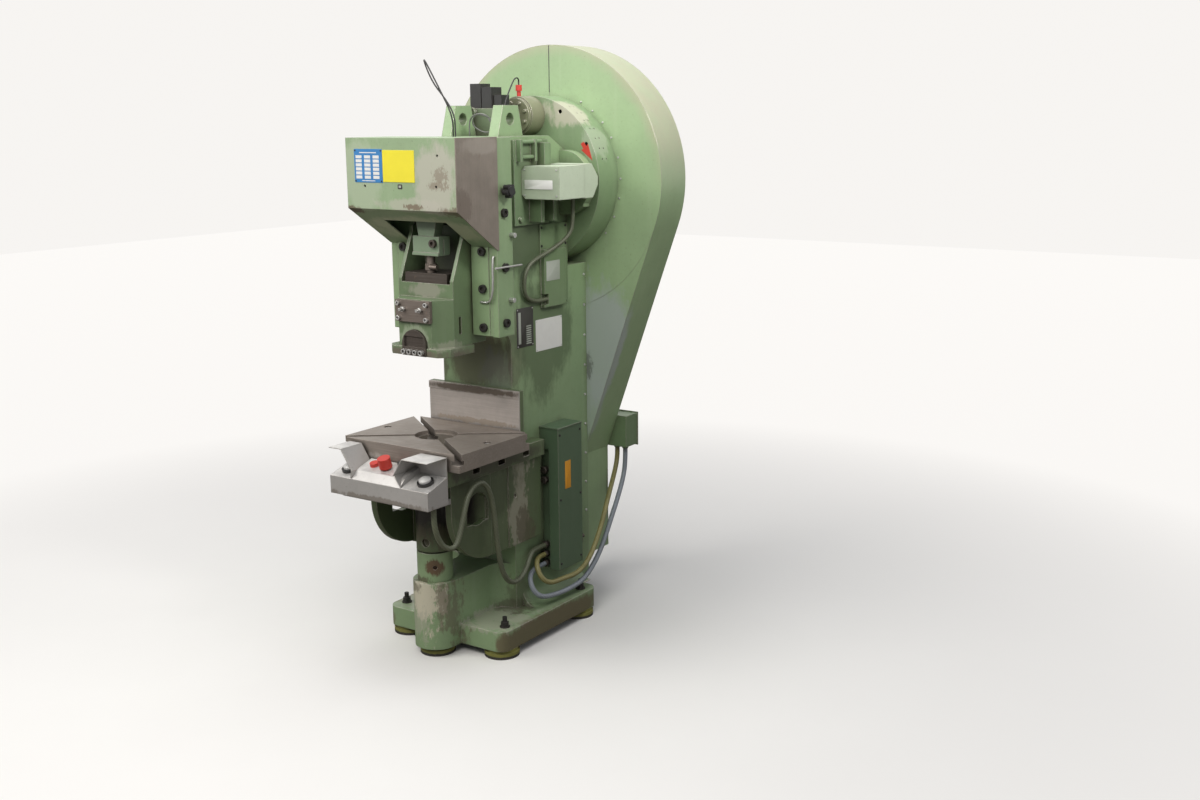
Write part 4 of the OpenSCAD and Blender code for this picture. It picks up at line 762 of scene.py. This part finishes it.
class Shape:
    """Faces of one small piece on a face of the press, drawn in millimetres from an origin."""

    def __init__(self, facing, origin):
        self.mesh = bmesh.new()
        self.u, self.v, self.n = (Vector(a) for a in AXES[facing])
        self.origin = Vector(origin)

    def ring(self, outline, lift):
        return [self.mesh.verts.new((self.origin + self.u * a + self.v * b + self.n * lift) * MM)
                for a, b in outline]

    def skin(self, rings):
        for low, high in zip(rings, rings[1:]):
            for k in range(len(low)):
                j = (k + 1) % len(low)
                self.mesh.faces.new((low[k], low[j], high[j], high[k]))
        self.mesh.faces.new(list(reversed(rings[0])))
        self.mesh.faces.new(rings[-1])

    def sheet(self, outline, thick, rim=0.5):
        """A plate whose upper edge is chamfered all round."""
        middle = (sum(p[0] for p in outline) / len(outline), sum(p[1] for p in outline) / len(outline))
        reach = max(abs(p[0] - middle[0]) for p in outline)
        share = 1 - rim / max(reach, 2 * rim)
        inner = [(middle[0] + (a - middle[0]) * share, middle[1] + (b - middle[1]) * share)
                 for a, b in outline]
        self.skin([self.ring(outline, -PLATE_SINK), self.ring(outline, -PLATE_SINK + thick * 0.6),
                   self.ring(inner, -PLATE_SINK + thick)])

    def lathe(self, a, b, profile, sides=18):
        rings = []
        for radius, lift in profile:
            turn = [math.tau * k / sides for k in range(sides)]
            circle = [(a + radius * math.cos(w), b + radius * math.sin(w)) for w in turn]
            rings.append(self.ring(circle, lift))
        self.skin(rings)

    def pan_screw(self, a, b, r, h):
        self.lathe(a, b, [(r, -0.3), (r, h * 0.35), (r * 0.82, h * 0.8), (r * 0.42, h), (r * 0.30, h * 0.5)])

    def socket_screw(self, a, b, r, h):
        self.lathe(a, b, [(r, -0.3), (r, h * 0.8), (r * 0.88, h), (r * 0.55, h), (r * 0.5, h * 0.4)])

    def hex_screw(self, a, b, r, h):
        self.lathe(a, b, [(r * 1.25, -0.3), (r * 1.25, h * 0.15), (r * 1.2, h * 0.2)], 20)
        self.lathe(a, b, [(r, h * 0.19), (r, h * 0.85), (r * 0.86, h)], 6)

    def done(self, name, body, material):
        data = bpy.data.meshes.new(name)
        self.mesh.to_mesh(data)
        self.mesh.free()
        for face in data.polygons:
            face.use_smooth = True
        data.set_sharp_from_angle(angle=math.radians(35))
        obj = bpy.data.objects.new(name, data)
        bpy.context.scene.collection.objects.link(obj)
        data.materials.append(MATERIALS[material])
        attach(obj, body)


def rounded(x0, x1, z0, z1, r=2.0, steps=4):
    """Outline of a rectangle with round corners, counter-clockwise."""
    out = []
    corners = ((x1 - r, z0 + r, -90), (x1 - r, z1 - r, 0), (x0 + r, z1 - r, 90), (x0 + r, z0 + r, 180))
    for cx, cz, start in corners:
        for k in range(steps + 1):
            a = math.radians(start + 90 * k / steps)
            out.append((cx + r * math.cos(a), cz + r * math.sin(a)))
    return out


def inset(outline, left, right, bottom, top):
    x0, x1, z0, z1 = outline
    return x0 + left, x1 - right, z0 + bottom, z1 - top


def corners_of(outline, margin):
    x0, x1, z0, z1 = inset(outline, margin, margin, margin, margin)
    return [(x, z) for x in (x0, x1) for z in (z0, z1)]


def plate(name, facing, origin, outline, corner, thick, material, rim=0.5):
    shape = Shape(facing, origin)
    shape.sheet(rounded(*outline, corner), thick, rim=rim)
    shape.done(name, "frame", material)


def guard_plates():
    face_of_guard = (0, GUARD_FRONT, 0)
    plate("blue_info_plate", "front", face_of_guard, BLUE_PLATE, 2.0, 1.4, "blue_plate")
    fields = Shape("front", (0, GUARD_FRONT - 1.2, 0))
    left, _, _, top = inset(BLUE_PLATE, 7, 0, 0, 20)
    for column in range(3):
        for row in range(6):
            x, z = left + 36.8 * column, top - 12.7 * row
            fields.sheet(rounded(x, x + 26, z - 9.6, z, 0.8), 0.5, rim=0.2)
    fields.sheet(rounded(*inset(BLUE_PLATE, 24, 24, 92, 10), 0.6), 0.4, rim=0.2)
    fields.sheet(rounded(*inset(BLUE_PLATE, 32, 32, 4.5, 98), 0.6), 0.4, rim=0.2)
    fields.done("blue_plate_fields", "frame", "white_plate")
    rivets = Shape("front", (0, GUARD_FRONT - 1.2, 0))
    for x, z in corners_of(BLUE_PLATE, 5):
        rivets.lathe(x, z, [(3.0, -0.3), (2.8, 0.8), (1.8, 1.5), (0.6, 1.8)], 14)
    rivets.done("blue_plate_rivets", "frame", "black_steel")
    plate("yellow_plate", "front", face_of_guard, YELLOW_PLATE, 2.0, 1.6, "yellow_plate")
    plate("square_badge", "front", face_of_guard, BADGE, 3.0, 1.0, "dark_plate")
    plate("square_badge_field", "front", (0, GUARD_FRONT - 0.8, 0), inset(BADGE, 4.5, 4.5, 4, 4), 1.0, 0.5,
          "pale_plate", rim=0.2)


def guard_seam_shade():
    # a dark strip down the split of the guard: painted shade of the gap
    seam = Shape("front", (0, GUARD_FACE, 0))
    seam.sheet(rounded(-1.8, 1.8, SHAFT_Z + 304, SHAFT_Z + 465, 1.0), 0.5, rim=0.2)
    seam.done("guard_seam_shade", "frame", "dark_plate")


def arrow_mark():
    tail, tip = Vector((222, 1696)), Vector((264, 1636))
    along = (tip - tail).normalized()
    across = Vector((along.y, -along.x))
    length = (tip - tail).length
    shape = [(0, -7), (0.28, -8), (0.22, -18), (1.0, 0), (0.22, 18), (0.28, 8), (0, 7)]
    outline = [tuple(tail + along * (a * length) + across * -b) for a, b in shape]
    arrow = Shape("front", (0, DRUM_FRONT, 0))
    arrow.sheet([(p[0], p[1]) for p in reversed(outline)], 0.6, rim=0.3)
    arrow.done("red_arrow", "frame", "red")


def side_plates():
    plate("switch_label", "front", (0, SWITCH_FRONT, 0), SWITCH_LABEL, 1.5, 0.8, "white_plate")
    plate("cover_label", "right", (COL_X + 20, 0, 0), COVER_LABEL, 1.5, 1.0, "pale_plate")
    plate("dark_plate", "right", (COL_X, 0, 0), DARK_PLATE, 1.5, 1.2, "dark_plate")
    bars = Shape("right", (COL_X + 1.0, 0, 0))
    left, right, bottom, _ = inset(DARK_PLATE, 53, 12, 9, 0)
    for k in range(9):
        z = bottom + 7.4 * k
        bars.sheet(rounded(left, right, z, z + 4.0, 0.8), 0.4, rim=0.2)
    bars.sheet(rounded(*inset(DARK_PLATE, 9, 70, 13, 14), 1.0), 0.4, rim=0.2)
    bars.done("dark_plate_bars", "frame", "pale_plate")
    plate("pale_plate", "right", (COL_X, 0, 0), PALE_PLATE, 1.5, 1.2, "white_plate")
    plate("orange_label", "right", (DUCT_X, 0, 0), ORANGE_LABEL, 1.5, 0.8, "orange_plate")


def plate_rivets():
    rivets = Shape("right", (COL_X + 1.0, 0, 0))
    for outline in (DARK_PLATE, PALE_PLATE):
        for y, z in corners_of(outline, 5):
            rivets.lathe(y, z, [(2.6, -0.3), (2.4, 0.7), (1.5, 1.3), (0.5, 1.5)], 14)
    rivets.done("side_plate_rivets", "frame", "bright_steel")


def small_screws():
    column = Shape("right", (COL_X, 0, 0))
    for k in range(9):
        column.pan_screw(EDGE_SCREW_Y, 350 + 110 * k, 5.0, 3.2)
    column.done("column_screws", "frame", "bright_steel")
    left = Shape("left", (-COL_X, 0, 0))
    for k in range(9):
        left.pan_screw(-EDGE_SCREW_Y, 350 + 110 * k, 5.0, 3.2)
    left.done("column_screws_left", "frame", "bright_steel")
    rim = Shape("front", (0, GUARD_FACE, 0))
    for a in (63, 52, 41, 29, 15, 1, -12, -25, -38):
        for side in (1, -1):
            w = math.radians(a)
            rim.pan_screw(side * RIM_SCREW_R * math.cos(w), SHAFT_Z + RIM_SCREW_R * math.sin(w), 4.0, 3.0)
    rim.done("drum_rim_screws", "frame", "bright_steel")
    back = Shape("back", (0, GUARD_BACK, 0))
    for k in range(12):
        w = math.radians(15 + 30 * k)
        if math.sin(w) > -0.9:
            back.hex_screw(BACK_SCREW_R * math.cos(w), SHAFT_Z + BACK_SCREW_R * math.sin(w), 6.0, 5.0)
    for z in (215, 420, 640):
        for x in (-114, 114):
            back.hex_screw(x, z, 6.0, 5.0)
    back.done("guard_back_screws", "frame", "black_steel")
    table = Shape("top", (0, 0, TABLE_Z - 12))
    for x in (-216, 216):
        table.socket_screw(x, -287.5, 9.5, 9.0)
    table.done("bolster_screws", "knee", "bright_steel")
    box = Shape("front", (0, SWITCH_FRONT + 1, 0))
    for x in (171, 301):
        for z in (1530, 1614):
            box.pan_screw(x, z, 3.6, 2.4)
    box.done("switch_box_screws", "frame", "bright_steel")
    duct = Shape("right", (DUCT_X, 0, 0))
    for y in (97, 218):
        for z in (232, 466, 700):
            duct.pan_screw(y, z, 4.2, 2.8)
    duct.done("duct_screws", "frame", "black_steel")
    terminal = Shape("back", (0, TERMINAL_BACK, 0))
    for x in (-211, -99):
        for z in (563, 677):
            terminal.pan_screw(x, z, 4.0, 2.6)
    terminal.done("terminal_box_screws", "frame", "black_steel")
    cover = Shape("right", (COL_X + 5, 0, 0))
    for y in (112, 252):
        for z in (1352, 1414):
            cover.pan_screw(y, z, 4.6, 3.0)
    cover.pan_screw(248, 1150, 4.6, 3.0)
    cover.done("side_cover_screws", "frame", "black_steel")


guard_plates()
guard_seam_shade()
arrow_mark()
side_plates()
plate_rivets()
small_screws()


# Light, floor and finish

WHITE = rgb(0.93, 0.91, 0.885)
BOUNCE = rgb(0.20, 0.18, 0.15)      # floor colour that lights the press from below
WARM = (1.0, 0.97, 0.92)
SKY_STRENGTH = 0.30
FLOOR_REACH = 14.0
FADE_FROM, FADE_TO = 0.9, 3.4       # metres from the middle of the press


def place_light(name, light, position, target):
    obj = bpy.data.objects.new(name, light)
    bpy.context.scene.collection.objects.link(obj)
    obj.location = position
    obj.rotation_euler = (Vector(target) - Vector(position)).to_track_quat("-Z", "Y").to_euler()


def area_light(name, position, target, size, energy, tint=(1, 1, 1)):
    light = bpy.data.lights.new(name, "AREA")
    light.shape = "RECTANGLE"
    light.size, light.size_y = size
    light.energy = energy
    light.color = tint
    place_light(name, light, position, target)


def make_floor():
    """A pale floor that fades into the white background with its distance from the press."""
    mesh = bpy.data.meshes.new("floor")
    corners = [(-FLOOR_REACH, -FLOOR_REACH, 0), (FLOOR_REACH, -FLOOR_REACH, 0),
               (FLOOR_REACH, FLOOR_REACH, 0), (-FLOOR_REACH, FLOOR_REACH, 0)]
    mesh.from_pydata(corners, [], [(0, 1, 2, 3)])
    floor = bpy.data.objects.new("floor", mesh)
    bpy.context.scene.collection.objects.link(floor)
    material, t, shader, place = new_material("floor_pale")
    tone = mix(t, noise(t, place, 1.2), rgb(0.84, 0.83, 0.81), rgb(0.90, 0.89, 0.87))
    seen = add(t, "ShaderNodeLightPath").outputs["Is Camera Ray"]
    far = remap(t, vector_node(t, "LENGTH", place), FADE_FROM, FADE_TO)
    fade = math_node(t, "MULTIPLY", seen, far)
    tone = mix(t, fade, mix(t, seen, BOUNCE, tone), rgb(0.0, 0.0, 0.0))
    finish(t, shader, tone, 0.7)
    feed(t, shader, {"Specular IOR Level": 0.1, "Emission Color": WHITE, "Emission Strength": fade})
    floor.data.materials.append(material)


def make_world():
    """White where the camera or a reflection looks, a weak sky for the light itself."""
    world = bpy.data.worlds.new("World")
    bpy.context.scene.world = world
    world.use_nodes = True
    t = world.node_tree
    sky = t.nodes["Background"]
    feed(t, sky, {"Color": rgb(0.92, 0.94, 1.0), "Strength": SKY_STRENGTH})
    white = add(t, "ShaderNodeBackground", {"Color": WHITE, "Strength": 1.0})
    ray = add(t, "ShaderNodeLightPath").outputs
    seen = math_node(t, "MAXIMUM", ray["Is Camera Ray"], ray["Is Glossy Ray"])
    shown = add(t, "ShaderNodeMixShader", {0: seen, 1: sky.outputs[0], 2: white.outputs[0]})
    t.links.new(shown.outputs[0], t.nodes["World Output"].inputs[0])


def make_lights():
    area_light("key_left", (-1.5, -2.7, 3.3), (0, 0, 1.2), (2.2, 1.6), 74, WARM)
    area_light("key_right", (1.5, -3.0, 3.5), (0, 0.2, 1.2), (2.2, 1.6), 62, WARM)
    side = bpy.data.lights.new("side", "SPOT")
    side.energy = 340
    side.color = (1.0, 0.98, 0.95)
    side.spot_size = math.radians(34)
    side.spot_blend = 1.0
    side.shadow_soft_size = 0.5
    place_light("side", side, (2.7, -0.3, 3.4), (0.1, 0.15, 1.85))
    area_light("top", (0.1, -0.1, 4.2), (0, 0, 1.0), (2.6, 2.6), 62)


make_floor()
make_world()
make_lights()
bpy.context.scene.view_settings.view_transform = "Standard"

bpy.context.view_layer.update()
